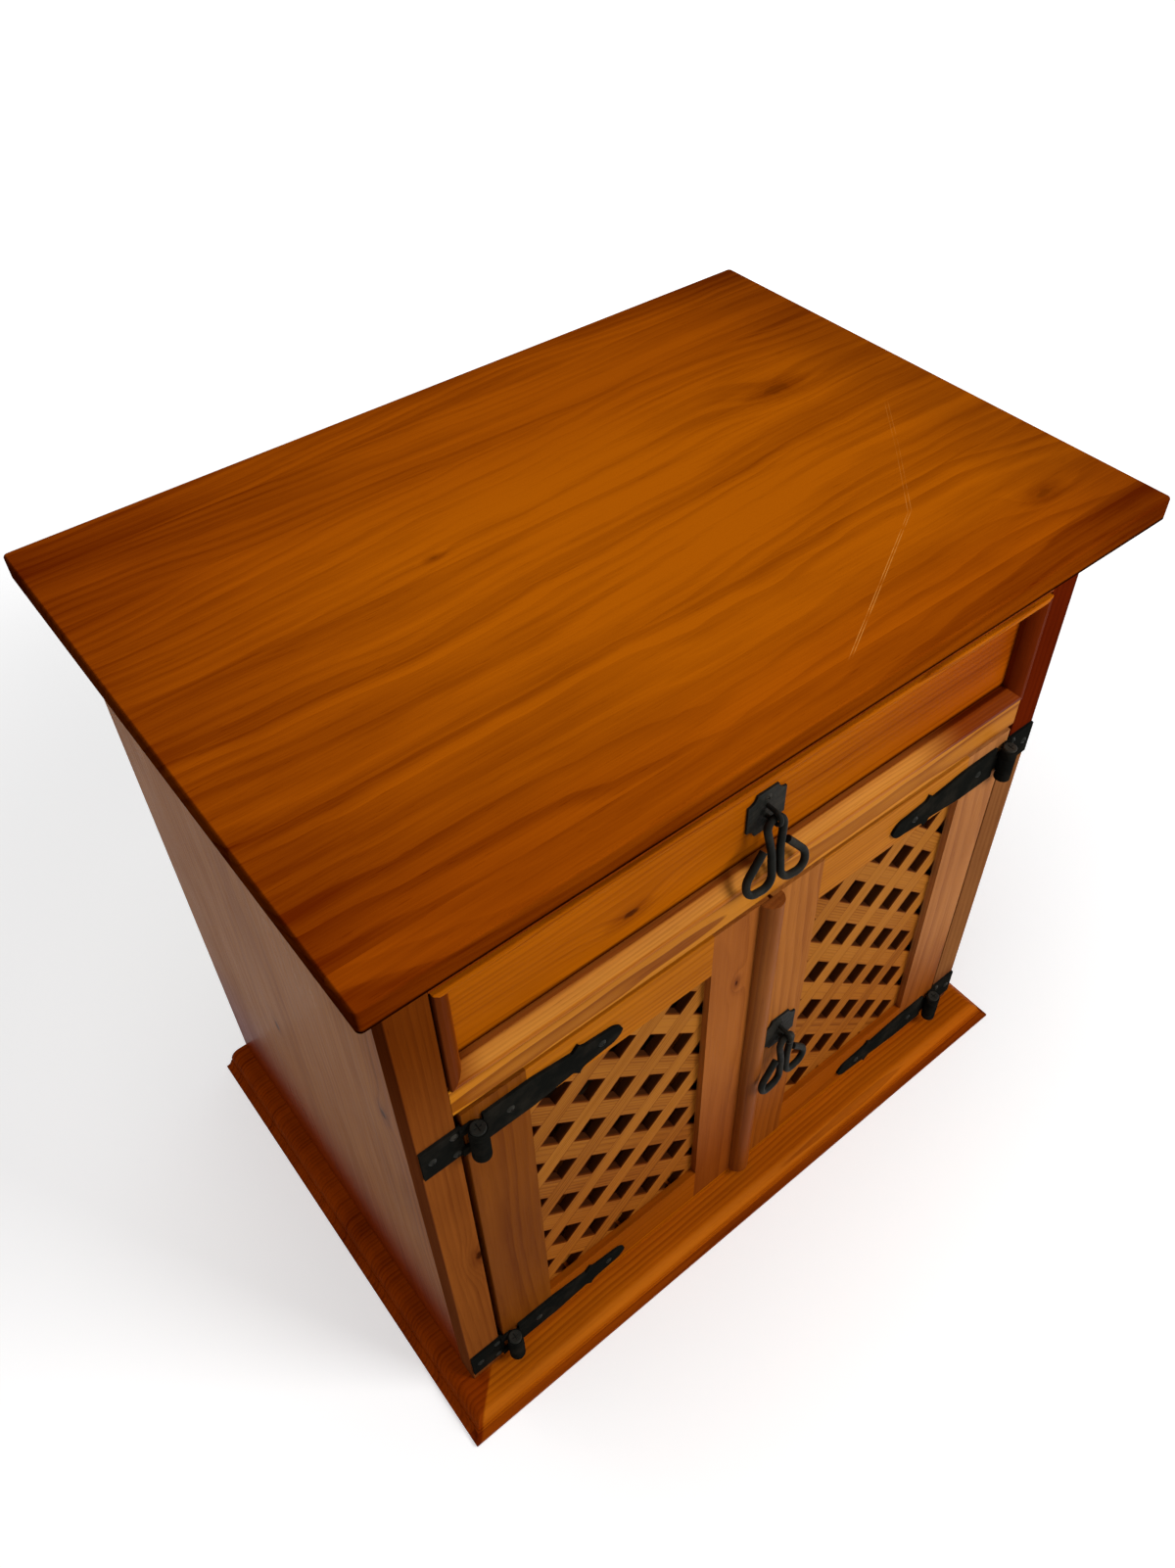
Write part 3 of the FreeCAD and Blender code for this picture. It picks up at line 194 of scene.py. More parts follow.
# Pine figure: changes in a metre, along the grain and across it
SWAY = (2.2, 2.0)
SECOND_SWAY = (1.7, 1.2)
SECOND_SWAY_APART = 40.0
WOBBLE = (9.0, 14.0)
FIBRE = (14.0, 620.0)
STREAK = (3.5, 110.0)
CLOUD = (5.0, 9.0)
PORE = (55.0, 900.0)
BAND_ALONG, BAND_ROUND, BAND_ACROSS = 1.3, 46.0, 6.0

# Growth rings: wobble as a share of wander, years of different growth, and the late wood of one year
WOBBLE_SHARE = 0.12
YEAR_RATE, YEAR_SPREAD = 0.45, 1.6
RING_RATE, RING_SCALE, RING_ROW = 0.73, 3.1, 5.0
LATE_START, LATE_FULL, LATE_END = 0.25, 0.86, 0.93
LATE_MEAN, LATE_SPREAD = 0.62, 1.5
STREAK_SHARE = 0.9
PORE_LOW, PORE_HIGH = 0.17, 0.26


def pine_group():
    """A log's growth rings cut by the board's faces. In: a point (along the grain, across, deep) in metres.
    Out: late wood from 0 to 1, pores from 0 to 1, and fibres, clouds and bands about 0."""
    tree = bpy.data.node_groups.new("pine", "ShaderNodeTree")
    face = tree.interface
    face.new_socket("Point", in_out="INPUT", socket_type="NodeSocketVector")
    for name in ("Pith across", "Pith deep", "Spacing", "Wander", "Swell", "Seed"):
        face.new_socket(name, in_out="INPUT", socket_type="NodeSocketFloat")
    for name in ("Late wood", "Fibres", "Clouds", "Pores", "Bands"):
        face.new_socket(name, in_out="OUTPUT", socket_type="NodeSocketFloat")
    g = Graph(tree)
    given = g.add("NodeGroupInput").outputs
    along, across, deep = g.split(given["Point"])
    seed, wander = given["Seed"], given["Wander"]

    def stretched(changes):
        along_changes, across_changes = changes
        return g.vector(g.times(along, along_changes), g.sum(g.times(across, across_changes), seed),
                        g.times(deep, across_changes))

    # Distance from the pith, which strays along the board
    sway = g.noise(stretched(SWAY), detail=1.0)
    second_sway_at = g.vector(g.times(along, SECOND_SWAY[0]), g.sum(seed, SECOND_SWAY_APART),
                              g.times(across, SECOND_SWAY[1]))
    second_sway = g.noise(second_sway_at, detail=1.0)
    off_across = g.sum(g.minus(across, given["Pith across"]), g.times(sway, wander))
    off_deep = g.sum(g.minus(deep, given["Pith deep"]), g.times(second_sway, wander))
    wobble = g.noise(stretched(WOBBLE))
    radius = g.sum(g.length(off_across, off_deep), g.times(wobble, wander, WOBBLE_SHARE), given["Swell"])

    # Rings, each with a soft start, a sharp end and its own strength
    turns = g.over(radius, given["Spacing"])
    years = g.noise(g.vector(g.times(turns, YEAR_RATE), seed, 0.0))
    turns = g.sum(turns, g.times(years, YEAR_SPREAD))
    phase = g.math("FRACT", turns)
    ring_at = g.vector(g.times(g.math("FLOOR", turns), RING_RATE), seed, RING_ROW)
    strength = g.noise(ring_at, scale=RING_SCALE, detail=0.0)
    late = g.times(g.step(phase, LATE_START, LATE_FULL), g.step(phase, 1.0, LATE_END),
                   g.sum(LATE_MEAN, g.times(strength, LATE_SPREAD)))

    fibres = g.noise(stretched(FIBRE), detail=3.0, roughness=0.65)
    streaks = g.noise(stretched(STREAK), detail=2.0, roughness=0.6)
    clouds = g.noise(stretched(CLOUD), detail=3.0)
    pores = g.step(g.noise(stretched(PORE), detail=1.0), PORE_LOW, PORE_HIGH)
    band_at = g.vector(g.times(along, BAND_ALONG), g.sum(g.times(radius, BAND_ROUND), seed),
                       g.times(across, BAND_ACROSS))
    bands = g.noise(band_at, detail=3.0, roughness=0.55)
    out = g.add("NodeGroupOutput")
    for name, value in (("Late wood", late), ("Fibres", g.sum(fibres, g.times(streaks, STREAK_SHARE))),
                        ("Clouds", clouds), ("Pores", pores), ("Bands", bands)):
        g.feed(out.inputs[name], value)
    return tree


PINE = pine_group()

# Lattice slats
SLAT_DISTANCE = 45.0 * MILLIMETRE
SLAT_HALF = 10.5 * MILLIMETRE
SEAM_START = 1.1 * MILLIMETRE
SEAM_FULL = 0.2 * MILLIMETRE
NEXT_ALONG, NEXT_ACROSS = 1.37, 0.11
NEXT_STAIN, STAIN_SPREAD = 3.71, 0.9

# Knots: length to width, changes of the outline in a metre, and the rings' swelling round one in radii, with
# its spread in radii squared
KNOT_LONG = 2.2
RAGGED = (120.0, 160.0)
KNOT_SWELL = 2.4
SWELL_SPREAD = 14.0
HEART_FULL = 0.45
HALO_START, HALO_FULL = 3.2, 0.8

# Shade, from 0 for light wood to 1 for dark
BASE_SHADE = 0.12
FIBRE_SHADE = 0.45
CLOUD_SHADE = 0.75
PORE_SHADE = 0.18
HALO_SHADE = 0.35
SEAM_SHADE = 0.9
NEXT_PLANK = 3.7
SEEDS = 60.0
LIGHT_FACTORS = (1.22, 1.30, 1.30)
DARK_FACTORS = (0.40, 0.24, 0.30)
HEART_FACTORS = (0.30, 0.30, 0.30)

# Varnish: how the figure changes its roughness and its relief
VARNISH_TINT = (1.0, 0.70, 0.42)
FIBRE_ROUGH, CLOUD_ROUGH = 0.10, 0.16
LATE_HEIGHT, FIBRE_HEIGHT, HEART_HEIGHT = -0.35, 0.8, -1.0
RELIEF = 0.22 * MILLIMETRE


def grain_point(g, grain, normal):
    """The point as (along the grain, across, deep) for a grain and a face along the named axes."""
    place = dict(zip(AXES, g.split(g.place())))
    across = next(letter for letter in AXES if letter not in (grain, normal))
    return place[grain], place[across], place[normal]


def slat_point(g, slope, middle):
    """The same for slats at 45 degrees through a middle point, shifted from slat to slat so that each is its
    own stick. Also the number of the slat, and how near its edges the point lies, from 0 to 1."""
    x, y, z = g.split(g.place())
    middle_x, middle_z = middle
    half = math.sqrt(0.5)
    along = g.times(g.sum(x, g.times(z, slope)), half)
    across = g.times(g.minus(z, g.times(x, slope)), half)
    offset = g.minus(across, (middle_z - middle_x * slope) * half)
    number = g.math("ROUND", g.over(offset, SLAT_DISTANCE))
    aside = g.math("ABSOLUTE", g.minus(offset, g.times(number, SLAT_DISTANCE)))
    point = (g.sum(along, g.times(number, NEXT_ALONG)), g.sum(across, g.times(number, NEXT_ACROSS)), y)
    return point, number, g.step(aside, SLAT_HALF - SEAM_START, SLAT_HALF - SEAM_FULL)


def knot_fields(g, along, across, knots):
    """Swelling of the rings round each knot, and the dark of its heart and of its halo. A knot is its place
    along and across, and its radius."""
    swell, heart, halo = 0.0, 0.0, 0.0
    for at_along, at_across, radius in knots:
        off_along = g.over(g.minus(along, at_along), KNOT_LONG)
        off_across = g.minus(across, at_across)
        ragged = g.noise(g.vector(g.times(along, RAGGED[0]), g.times(across, RAGGED[1]), radius))
        away = g.length(off_along, off_across)
        near = g.math("EXPONENT", g.over(g.times(away, away), -radius * radius * SWELL_SPREAD))
        distance = g.sum(away, g.times(ragged, radius))
        swell = g.sum(swell, g.times(near, radius * KNOT_SWELL))
        heart = g.largest(heart, g.step(distance, radius, radius * HEART_FULL))
        halo = g.largest(halo, g.step(distance, radius * HALO_START, radius * HALO_FULL))
    return swell, heart, halo


def fade(factors, **steps):
    """A change of colour, for the wood's own tone and for painted shade and painted highlights: factors of
    red, green and blue, full where every step is passed. A step is an axis, or d for x less y, with the
    places where the change starts and is full."""
    return factors, steps


def faded(g, colour, fades):
    """The colour after its fades."""
    if not fades:
        return colour
    place = dict(zip(AXES, g.split(g.place())))
    place["d"] = g.minus(place["x"], place["y"])
    for factors, steps in fades:
        passed = 1.0
        for letter, (start, full) in steps.items():
            passed = g.times(passed, g.step(place[letter], start, full))
        colour = g.mix(passed, colour, factors, blend="MULTIPLY")
    return colour


def pine(name, grain, normal, colour, pith, spacing=0.0052, wander=0.05, contrast=0.5, bands=0.5, knots=(),
         knot_dark=0.85, seed=None, gloss=0.32, shine=0.004, slat=None, planks=(), wash=None, fades=(),
         extra=None):
    """Varnished pine for one board, of a mean colour. Pith is where the heart of its log lies, across and
    deep, and spacing the width of a ring. Planks are the places across of glued joints, with the change of
    tone after each. Wash darkens the board away from a place: along, across, reach, strength. Slat gives the
    slope and middle of a lattice. Extra adds marks to the colour, roughness and height."""
    material, g = new_material(name)
    number = hashed(name) * SEEDS if seed is None else seed
    stain, seam = 0.0, 0.0
    if slat is None:
        along, across, deep = grain_point(g, grain, normal)
    else:
        (along, across, deep), stick, seam = slat_point(g, *slat)
        stick_stain = g.noise(g.vector(g.times(stick, NEXT_STAIN), number, 0.0), detail=0.0)
        stain = g.times(stick_stain, STAIN_SPREAD)
    for edge, change in planks:
        past = g.math("GREATER_THAN", across, edge)
        number = g.sum(g.times(past, NEXT_PLANK), number)
        stain = g.sum(g.times(past, change), stain)
    if wash is not None:
        wash_along, wash_across, reach, strength = wash
        off_along = g.over(g.minus(along, wash_along), reach)
        off_across = g.over(g.minus(across, wash_across), reach)
        away = g.length(off_along, off_across)
        stain = g.sum(stain, g.times(away, away, strength))
    swell, heart, halo = knot_fields(g, along, across, knots)
    rings = g.add("ShaderNodeGroup", node_tree=PINE)
    for socket, value in (("Point", g.vector(along, across, deep)), ("Pith across", pith[0]),
                          ("Pith deep", pith[1]), ("Spacing", spacing), ("Wander", wander),
                          ("Swell", swell), ("Seed", number)):
        g.feed(rings.inputs[socket], value)
    late, fibres, clouds, pores, streaks = rings.outputs
    light, dark = shaded(colour, LIGHT_FACTORS), shaded(colour, DARK_FACTORS)
    shade = g.sum(g.times(late, contrast), g.times(fibres, FIBRE_SHADE), g.times(clouds, CLOUD_SHADE),
                  BASE_SHADE, g.times(streaks, bands), g.times(pores, PORE_SHADE), g.times(halo, HALO_SHADE),
                  stain)
    colour = g.mix(g.largest(0.0, g.math("MINIMUM", shade, 1.0)), light, dark)
    colour = g.mix(g.times(heart, knot_dark), colour, shaded(dark, HEART_FACTORS))
    colour = g.mix(g.times(seam, SEAM_SHADE), colour, dark)
    colour = faded(g, colour, fades)
    rough = g.sum(gloss, g.times(fibres, FIBRE_ROUGH), g.times(clouds, CLOUD_ROUGH))
    height = g.sum(g.times(late, LATE_HEIGHT), g.times(fibres, FIBRE_HEIGHT), g.times(heart, HEART_HEIGHT))
    if extra is not None:
        colour, rough, height = extra(g, colour, rough, height)
    g.surface(colour, rough, height, RELIEF, shine, VARNISH_TINT)
    return material


# Scratches on the top, in counts, from its front to its right
SCRATCH = [(548, 40), (650, 97), (762, 160), (842, 250), (905, 325)]
SCRATCH_APART = 5.0
SCRATCH_WIDTH = 0.5 * MILLIMETRE
SCRATCH_SHARP = 0.2
SCRATCH_BEFORE = 4.0 * MILLIMETRE
SCRATCH_WITHIN = 10.0 * MILLIMETRE
SCRATCH_BREAKS = 60.0
BREAKS_ROW = 3.0
BREAK_LOW, BREAK_HIGH = -0.20, 0.04
FAINT_FROM, FAINT_TO = 230, 90
FAINTEST = 0.25
SCRATCH_SHADE = 0.60
SCRATCH_COLOUR = (0.62, 0.26, 0.05)
SCRATCH_ROUGH, SCRATCH_HEIGHT = 0.2, -0.6


def line_mask(g, x, y, start, end, width):
    """1 on the straight line between two points, fading to 0 a width away."""
    (x0, y0), (x1, y1) = start, end
    length = math.hypot(x1 - x0, y1 - y0)
    ux, uy = (x1 - x0) / length, (y1 - y0) / length
    off_x, off_y = g.minus(x, x0), g.minus(y, y0)
    down = g.sum(g.times(off_x, ux), g.times(off_y, uy))
    aside = g.math("ABSOLUTE", g.sum(g.times(off_x, -uy), g.times(off_y, ux)))
    begun = g.step(down, -SCRATCH_BEFORE, SCRATCH_WITHIN)
    not_done = g.step(down, length + SCRATCH_BEFORE, length - SCRATCH_WITHIN)
    return g.times(g.step(aside, width, width * SCRATCH_SHARP), g.times(begun, not_done))


def top_marks(g, colour, rough, height):
    """The long fine double scratch across the top."""
    x, y, _ = g.split(g.place())
    mask = 0.0
    for (x0, y0), (x1, y1) in zip(SCRATCH, SCRATCH[1:]):
        for shift in (0.0, SCRATCH_APART):
            start = (top_x(x0 + shift), top_y(y0))
            end = (top_x(x1 + shift), top_y(y1))
            mask = g.largest(mask, line_mask(g, x, y, start, end, SCRATCH_WIDTH))
    breaks_at = g.vector(g.times(x, SCRATCH_BREAKS), g.times(y, SCRATCH_BREAKS), BREAKS_ROW)
    broken = g.step(g.noise(breaks_at, detail=3.0), BREAK_LOW, BREAK_HIGH)
    nearer = g.step(y, top_y(FAINT_FROM), top_y(FAINT_TO))
    mask = g.times(mask, broken, g.sum(FAINTEST, g.times(nearer, 1.0 - FAINTEST)))
    colour = g.mix(g.times(mask, SCRATCH_SHADE), colour, SCRATCH_COLOUR)
    return colour, g.sum(rough, g.times(mask, SCRATCH_ROUGH)), g.sum(height, g.times(mask, SCRATCH_HEIGHT))


# Iron and small fittings
IRON_BLACK = (0.0065, 0.0066, 0.0056)
IRON_BROWN = (0.0150, 0.0130, 0.0100)
IRON_RUST = (0.050, 0.024, 0.012)
RUST_SHARE = 0.5
PATCH_ROUGH, GRIT_ROUGH, GRIT_HEIGHT = 0.25, 0.2, 0.12
HAMMER_RELIEF = 0.6 * MILLIMETRE
FITTING_ROUGH = 0.15
FITTING_FACTORS = (0.8, 0.8, 0.8)
FITTING_RELIEF = 0.2 * MILLIMETRE


def iron(name, gloss, shine, wear):
    """Blackened wrought iron with hammer marks and worn, slightly browner high spots."""
    material, g = new_material(name)
    point = g.place()
    dents = g.noise(point, scale=150.0)
    grit = g.noise(point, scale=900.0, detail=3.0, roughness=0.6)
    patches = g.noise(point, scale=45.0, detail=3.0, roughness=0.6)
    spots = g.noise(point, scale=70.0, detail=4.0, roughness=0.7)
    worn = (wear, wear, wear)
    colour = g.mix(g.step(patches, low=-0.1, high=0.25), shaded(IRON_BLACK, worn), shaded(IRON_BROWN, worn))
    colour = g.mix(g.times(g.step(spots, low=0.16, high=0.32), RUST_SHARE), colour, IRON_RUST)
    rough = g.sum(gloss, g.times(patches, PATCH_ROUGH), g.times(grit, GRIT_ROUGH))
    g.surface(colour, rough, g.sum(dents, g.times(grit, GRIT_HEIGHT)), HAMMER_RELIEF, shine)
    return material


def plain(name, colour, rough, metallic=0.0):
    """Moulded plastic or plated sheet, with a little unevenness."""
    material, g = new_material(name)
    point = g.place()
    grit = g.noise(point, scale=700.0, detail=3.0)
    uneven = g.step(g.noise(point, scale=60.0, detail=3.0), low=-0.2, high=0.2)
    colour = g.mix(uneven, colour, shaded(colour, FITTING_FACTORS))
    g.surface(colour, g.sum(rough, g.times(grit, FITTING_ROUGH)), grit, FITTING_RELIEF, metallic=metallic)
    return material


def dress(node, material):
    """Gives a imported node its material."""
    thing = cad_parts[node]
    for slot in thing.material_slots:
        slot.material = material
    if not thing.material_slots:
        thing.data.materials.append(material)


# Grain and face of each kind of board, and mean colours that several boards share
UPRIGHT = ("z", "y")
LEVEL = ("x", "y")
FLAT = ("x", "z")
SIDE = ("z", "x")
DEEP = ("y", "x")
AMBER = (0.378, 0.088, 0.0008)
PALE = (0.480, 0.300, 0.1400)


def board(node, kind, colour, pith, **choice):
    """Dresses one board; its kind gives the axes of its grain and of its face."""
    dress(node, pine("pine_" + node, *kind, colour, pith, **choice))


def dress_top():
    """The top: glued planks, knots, darker edges and the scratch."""
    node = "top_panel"
    board(node, FLAT, (0.290, 0.062, 0.0006), (-0.42, 0.30), spacing=0.0085, wander=0.09, contrast=0.24,
          bands=1.6, seed=4.0, gloss=0.30, shine=0.0, extra=top_marks, knot_dark=0.30,
          planks=[(top_y(42), -0.10), (top_y(196), 0.02), (top_y(392), -0.04), (top_y(545), 0.04),
                  (top_y(640), 0.02)],
          wash=(top_x(590), top_y(330), 0.42, 0.56),
          knots=[(top_x(828), top_y(428), 0.0070), (top_x(335), top_y(412), 0.0020),
                 (top_x(900), top_y(92), 0.0045)],
          fades=[fade((0.38, 0.34, 0.60), x=inside(node, "x-", 2.5, 0.8)),
                 # Painted shade: a dark line along the bottom of the top's front face, at its rounded lower
                 # arris
                 fade((0.08, 0.05, 0.20), y=inside(node, "y-", 3.9, 2.4), z=inside(node, "z-", 5.0, 2.5)),
                 fade((0.84, 0.76, 0.90), y=between(node, "y", 0.596, 0.816)),
                 fade((0.93, 0.84, 0.90), y=between(node, "y", 0.196, 0.066)),
                 fade((0.92, 0.84, 1.00), x=between(node, "x", 0.333, 0.056)),
                 fade((0.82, 0.80, 1.30), x=between(node, "x", 0.847, 0.972))])


def dress_base():
    """The base board: painted shade on its left end past the mitre at the front corner, painted highlight on
    its moulding.
    """
    node = "base_board"
    low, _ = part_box(node)
    mitre = low.x - low.y
    past_mitre = (mitre + 7.0 * MILLIMETRE, mitre + 3.0 * MILLIMETRE)
    board(node, FLAT, (0.400, 0.088, 0.0022), (-0.30, 0.10), bands=0.8, spacing=0.0040, wander=0.02,
          # Painted shade and painted reflection: the left end past the mitre faces away from the light and
          # mirrors the dark side
          fades=[fade((0.50, 0.30, 0.25), d=past_mitre, x=inside(node, "x-", 60.9, 35.9)),
                 fade((0.88, 0.77, 0.60), x=between(node, "x", 0.639, 0.971)),
                 # Painted highlight: a lighter, paler band along the shoulder of the front moulding
                 fade((1.05, 1.15, 2.20), y=inside(node, "y-", 18.9, 14.7), z=inside(node, "z-", 12.5, 16.5)),
                 # Painted shade: the lower front band, under the moulding's shoulder, is darker
                 fade((0.55, 0.42, 0.50), y=inside(node, "y-", 13.4, 11.9), z=inside(node, "z-", 8.5, 7.0))])


def dress_sides():
    """Sides, back and what shows of the inside."""
    haze = 0.0062
    node = "side_panel_left"
    # The left side's colour is partly its wood tone and partly painted reflection: its olive-grey stands for
    # the varnish's pale sheen
    board(node, SIDE, (0.265, 0.081, 0.0045), (0.05, -0.42), shine=haze, contrast=0.30, bands=0.4,
          spacing=0.007, knots=[(0.470, -0.165, 0.0040), (0.300, 0.060, 0.0035)],
          # Painted reflection: darker towards the bottom, where the sheen gives way to the dark base and
          # floor
          fades=[fade((0.56, 0.20, 0.20), z=between(node, "z", 0.364, 0.057)),
                 fade((0.88, 0.72, 0.80), y=inside(node, "y-", 37.9, -37.1),
                      z=between(node, "z", 0.203, 0.407))])
    board("side_panel_right", SIDE, (0.255, 0.064, 0.0030), (0.0, 0.42), shine=haze, contrast=0.35, bands=0.3)
    board("back_panel", UPRIGHT, (0.300, 0.180, 0.0800), (0.0, 0.5), contrast=0.3,
          # Painted shade: the back's inner face, inside the closed cabinet, is darkened
          fades=[fade((0.17, 0.15, 0.17), y=inside("back_panel", "y+", 1.0, 2.5))])
    board("bottom_board", FLAT, AMBER, (0.0, 0.3))
    # Painted shade: the shelf inside the closed cabinet gets a near-black colour
    board("shelf", FLAT, (0.050, 0.027, 0.0140), (0.1, 0.5))
    board("shelf_pegs", FLAT, PALE, (0.0, 0.3))


def dress_front():
    """The stiles and rails of the body's front."""
    stile = dict(contrast=0.25, wander=0.02, bands=0.4, shine=0.0)
    node = "front_stile_left"
    board(node, UPRIGHT, (0.210, 0.055, 0.0088), (-0.38, -0.12), spacing=0.0034, **stile,
          knots=[(0.258, top_x(80), 0.004)],
          fades=[fade((0.62, 0.46, 0.22), z=between(node, "z", 0.582, 0.874)),
                 fade((0.55, 0.50, 0.80), x=inside(node, "x-", 1.7, 0.5))])
    node = "front_stile_right"
    board(node, UPRIGHT, (0.222, 0.080, 0.0240), (0.36, -0.14), **stile,
          fades=[fade((0.44, 0.11, 0.04), z=between(node, "z", 0.604, 0.662)),
                 fade((0.60, 0.45, 0.45), z=between(node, "z", 0.116, 0.057))])
    board("top_rail", LEVEL, (0.190, 0.030, 0.0010), (0.60, -0.10), contrast=0.3)
    node = "middle_rail"
    board(node, LEVEL, (0.465, 0.157, 0.0130), (0.50, -0.26), spacing=0.0026, wander=0.020, contrast=0.80,
          bands=0.1, shine=0.008, fades=[fade((1.05, 1.00, 0.70), x=between(node, "x", 0.133, 0.017))])


def dress_drawer():
    """The drawer's front with its mouldings, its box, and what it runs on."""
    panel, low_moulding, left_moulding = "drawer_panel", "drawer_moulding_bottom", "drawer_moulding_left"
    board(panel, LEVEL, AMBER, (0.52, -0.24), contrast=0.35, bands=0.9, wander=0.03,
          knots=[(top_x(316), 0.565, 0.0045)],
          fades=[fade((0.80, 0.62, 0.60), x=between(panel, "x", 0.567, 0.919)),
                 # Painted shade: a dark band along the panel's bottom, in the crease above the bottom
                 # moulding
                 fade((0.14, 0.08, 0.10), z=inside(low_moulding, "z+", -6.0, -1.0))])
    board(low_moulding, LEVEL, (0.400, 0.110, 0.0060), (0.50, -0.24), contrast=0.28, shine=0.02,
          spacing=0.0030, wander=0.02,
          # Painted highlight: the moulding's bevel above its lowest 7 mm is lighter and paler
          fades=[fade((1.30, 1.70, 4.50), z=inside(low_moulding, "z-", 4.5, 7.0)),
                 # Painted shade: a dark line along the moulding's top edge, in the crease at the panel
                 fade((0.38, 0.20, 0.15), z=inside(low_moulding, "z+", 0.7, -0.3)),
                 fade((0.36, 0.16, 0.04), x=between(low_moulding, "x", 0.751, 0.877)),
                 fade((0.55, 0.40, 0.30), x=between(low_moulding, "x", 0.056, 0.011))])
    board("drawer_moulding_top", LEVEL, AMBER, (0.70, -0.24), contrast=0.5)
    board(left_moulding, UPRIGHT, (0.106, 0.018, 0.0010), (-0.32, -0.16), contrast=0.3,
          fades=[fade((1.50, 1.60, 1.60), x=inside(left_moulding, "x+", 4.1, 2.9))])
    board("drawer_moulding_right", UPRIGHT, (0.105, 0.012, 0.0006), (0.32, -0.16), contrast=0.3)
    for side, pith_deep in (("left", -0.4), ("right", 0.4)):
        board("drawer_side_" + side, DEEP, PALE, (0.5, pith_deep))
        board("drawer_runner_" + side, DEEP, PALE, (0.5, pith_deep))
    board("drawer_kickers", DEEP, PALE, (0.6, 0.0))
    board("drawer_back", LEVEL, PALE, (0.5, 0.3))
    board("drawer_bottom", FLAT, PALE, (0.0, 0.7))


def dress_doors():
    """The frames of both doors, and the bead on the right one."""
    fine = dict(spacing=0.0036, wander=0.02, bands=0.5)
    low_part = between("left_door_hinge_stile", "z", 0.589, 0.105)
    board("left_door_hinge_stile", UPRIGHT, (0.180, 0.045, 0.0034), (-0.30, -0.33), contrast=0.25, **fine)
    board("left_door_meeting_stile", UPRIGHT, (0.300, 0.084, 0.0140), (-0.06, -0.35), contrast=0.25, **fine,
          knots=[(0.395, -0.030, 0.0022)], fades=[fade((0.70, 0.52, 0.30), z=low_part)])
    board("left_door_top_rail", LEVEL, (0.420, 0.120, 0.0050), (0.52, -0.32), contrast=0.3, **fine)
    board("left_door_bottom_rail", LEVEL, (0.253, 0.052, 0.0017), (0.12, -0.35), contrast=0.3, wander=0.02)
    board("right_door_hinge_stile", UPRIGHT, (0.343, 0.122, 0.0340), (0.31, -0.38), contrast=0.3, **fine,
          fades=[fade((0.64, 0.42, 0.16), z=between("right_door_hinge_stile", "z", 0.457, 0.061))])
    board("right_door_meeting_stile", UPRIGHT, (0.343, 0.110, 0.0200), (0.10, -0.37), contrast=0.3, **fine,
          fades=[fade((0.66, 0.46, 0.22), z=low_part)])
    board("right_door_top_rail", LEVEL, (0.420, 0.132, 0.0110), (0.60, -0.32), contrast=0.45, spacing=0.0036,
          wander=0.02)
    board("right_door_bottom_rail", LEVEL, (0.260, 0.052, 0.0018), (0.02, -0.35), contrast=0.3, wander=0.02)
    board("right_door_bead", UPRIGHT, (0.240, 0.070, 0.0130), (0.02, -0.35), contrast=0.3, wander=0.02,
          shine=0.012, fades=[fade((0.80, 0.58, 0.35), z=low_part)])


def dress_lattices():
    """Crossed slats, each its own stick, and the strips that hold them. The slats' middle crossing lies right
    of the box's middle and above it by a shift in millimetres."""
    colour = (0.340, 0.114, 0.0140)
    for side, (right, up) in {"left": (0.75, -7.10), "right": (-0.65, 2.00)}.items():
        for layer, slope in (("front", 1), ("back", -1)):
            node = "%s_lattice_%s_slats" % (side, layer)
            low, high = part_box(node)
            crossing = ((low.x + high.x) / 2 + right * MILLIMETRE, (low.z + high.z) / 2 + up * MILLIMETRE)
            board(node, LEVEL, colour, (0.03, -0.30), slat=(slope, crossing), contrast=0.40, spacing=0.0030,
                  wander=0.02, gloss=0.45, shine=0.006,
                  fades=[fade((0.84, 0.70, 0.55), z=between(node, "z", 0.721, 0.115)),
                         # Painted shade: the slats' walls inside the holes are darker and greyer
                         fade((0.42, 0.50, 0.95), y=inside(node, "y-", 0.3, 2.4))])
        strips = pine("pine_strips_" + side, *UPRIGHT, colour, (0.1, -0.2))
        dress("%s_lattice_strips" % side, strips)


def dress_fittings():
    """Hinges, pulls, screws and catches."""
    hinge_iron = iron("black_iron", gloss=0.50, shine=0.0, wear=1.15)
    pull_iron = iron("pull_iron", gloss=0.42, shine=0.02, wear=2.1)
    worn_iron = iron("worn_iron", gloss=0.38, shine=0.03, wear=3.2)
    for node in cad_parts:
        if "hinge_pins" in node or "screws" in node:
            dress(node, worn_iron)
        elif "pull_" in node:
            dress(node, pull_iron)
        elif "strap_" in node or "hinge_leaves" in node:
            dress(node, hinge_iron)
    dress("magnet_catches", plain("catch_plastic", (0.12, 0.06, 0.03), 0.5))
    for side in ("left", "right"):
        dress("%s_catch_plate" % side, plain("catch_steel_" + side, (0.55, 0.55, 0.56), 0.35, 1.0))


# Floor, world, lamps and camera
WHITE = (1.0, 1.0, 1.0)
FLOOR_SIZE = 60.0
FLOOR_GREY = 0.88
FLOOR_GLOW = 0.34
GLOW_START, GLOW_FULL = 0.7, 2.4
SKY_GREY = (0.20, 0.20, 0.21)
SKY_START, SKY_FULL = 0.18, 0.62
SKY_STRENGTH = 0.5
LAMP_AIM = Vector((0.0, 0.0, 0.4))


def seen(g):
    """1 for rays that see a surface directly, in a mirror or through glass."""
    path = g.add("ShaderNodeLightPath").outputs
    return g.largest(path["Is Camera Ray"], path["Is Glossy Ray"], path["Is Transmission Ray"])


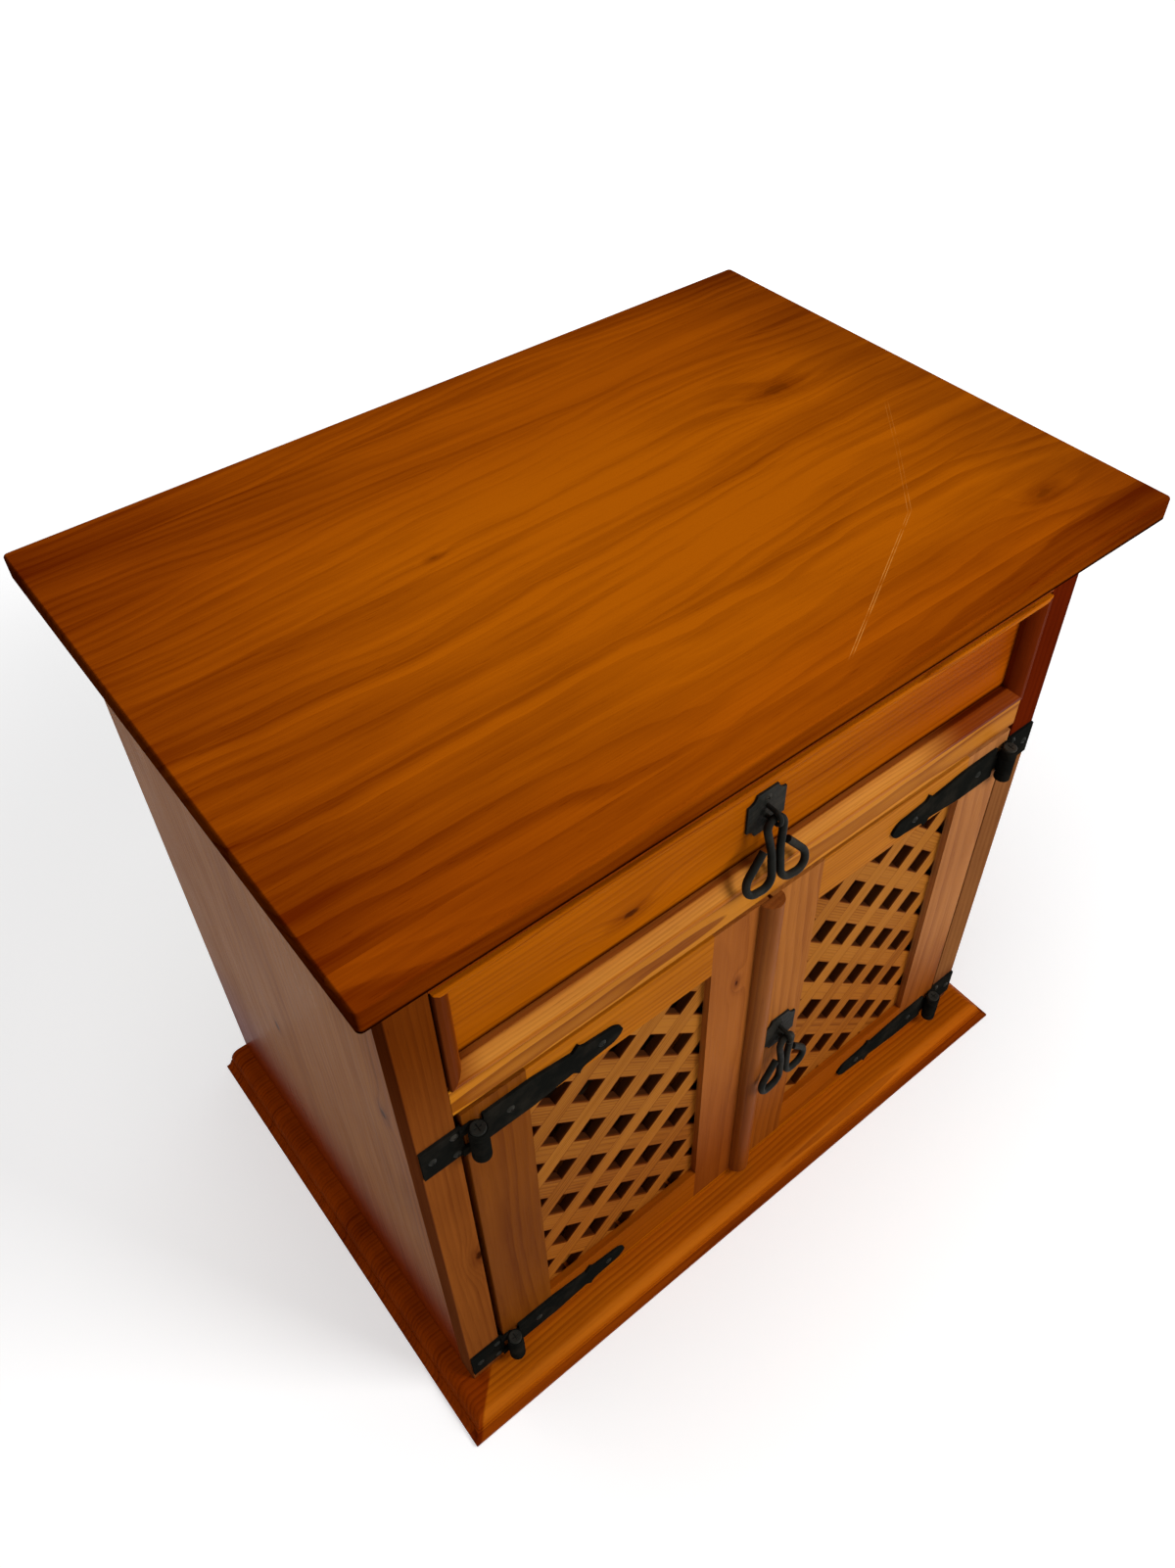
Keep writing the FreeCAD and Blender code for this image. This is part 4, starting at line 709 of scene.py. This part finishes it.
def make_floor():
    """A pale floor that shows white around the object's soft shadow."""
    bpy.ops.mesh.primitive_plane_add(size=FLOOR_SIZE, location=(0.0, 0.0, 0.0))
    floor = bpy.context.object
    floor.name = "floor"
    material, g = new_material("floor")
    x, y, _ = g.split(g.place())
    soft = g.add("ShaderNodeBsdfDiffuse")
    soft.inputs["Color"].default_value = (FLOOR_GREY, FLOOR_GREY, FLOOR_GREY, 1.0)
    glow = g.add("ShaderNodeEmission")
    glow.inputs["Color"].default_value = (*WHITE, 1.0)
    farther = g.times(g.step(g.length(x, y), GLOW_START, GLOW_FULL), 1.0 - FLOOR_GLOW)
    g.feed(glow.inputs["Strength"], g.times(seen(g), g.sum(FLOOR_GLOW, farther)))
    both = g.add("ShaderNodeAddShader")
    g.feed(both.inputs[0], soft.outputs[0])
    g.feed(both.inputs[1], glow.outputs[0])
    g.finish(both)
    floor.data.materials.append(material)


def make_world():
    """White at the horizon, darker overhead."""
    world = bpy.data.worlds.new("studio")
    bpy.context.scene.world = world
    world.use_nodes = True
    g = Graph(world.node_tree)
    height = g.split(g.add("ShaderNodeTexCoord").outputs["Generated"])[2]
    background = g.add("ShaderNodeBackground")
    g.feed(background.inputs["Color"], g.mix(g.step(height, SKY_START, SKY_FULL), WHITE, SKY_GREY))
    g.feed(background.inputs["Strength"], g.sum(SKY_STRENGTH, g.times(seen(g), 1.0 - SKY_STRENGTH)))
    g.feed(g.add("ShaderNodeOutputWorld").inputs[0], background.outputs[0])


def make_lamp(name, direction, distance, width, power):
    """A square soft lamp that looks at the middle of the cabinet."""
    lamp = bpy.data.lights.new(name, "AREA")
    lamp.shape = "SQUARE"
    lamp.size = width
    lamp.energy = power
    thing = bpy.data.objects.new(name, lamp)
    bpy.context.collection.objects.link(thing)
    thing.location = LAMP_AIM + Vector(direction).normalized() * distance
    thing.rotation_euler = (LAMP_AIM - thing.location).to_track_quat("-Z", "Y").to_euler()


def make_camera(place, degrees, lens, shift):
    """The photograph's viewpoint."""
    camera = bpy.data.cameras.new("camera")
    camera.sensor_width = 36.0
    camera.lens = lens
    camera.shift_x, camera.shift_y = shift
    thing = bpy.data.objects.new("camera", camera)
    bpy.context.collection.objects.link(thing)
    thing.location = place
    thing.rotation_euler = Euler([math.radians(angle) for angle in degrees], "XYZ")
    bpy.context.scene.camera = thing


dress_top()
dress_base()
dress_sides()
dress_front()
dress_drawer()
dress_doors()
dress_lattices()
dress_fittings()
make_floor()
make_world()
make_lamp("key", direction=(0.45, -0.75, 0.58), distance=2.6, width=1.0, power=42.0)
make_lamp("overhead", direction=(-0.25, 0.1, 1.0), distance=2.2, width=1.6, power=30.0)
make_camera(place=(-0.471058, -0.607072, 1.288848), degrees=(44.62263, 0.32314, -39.02191), lens=28.9221,
            shift=(-0.020352, -0.034152))
bpy.context.scene.view_settings.view_transform = "Standard"
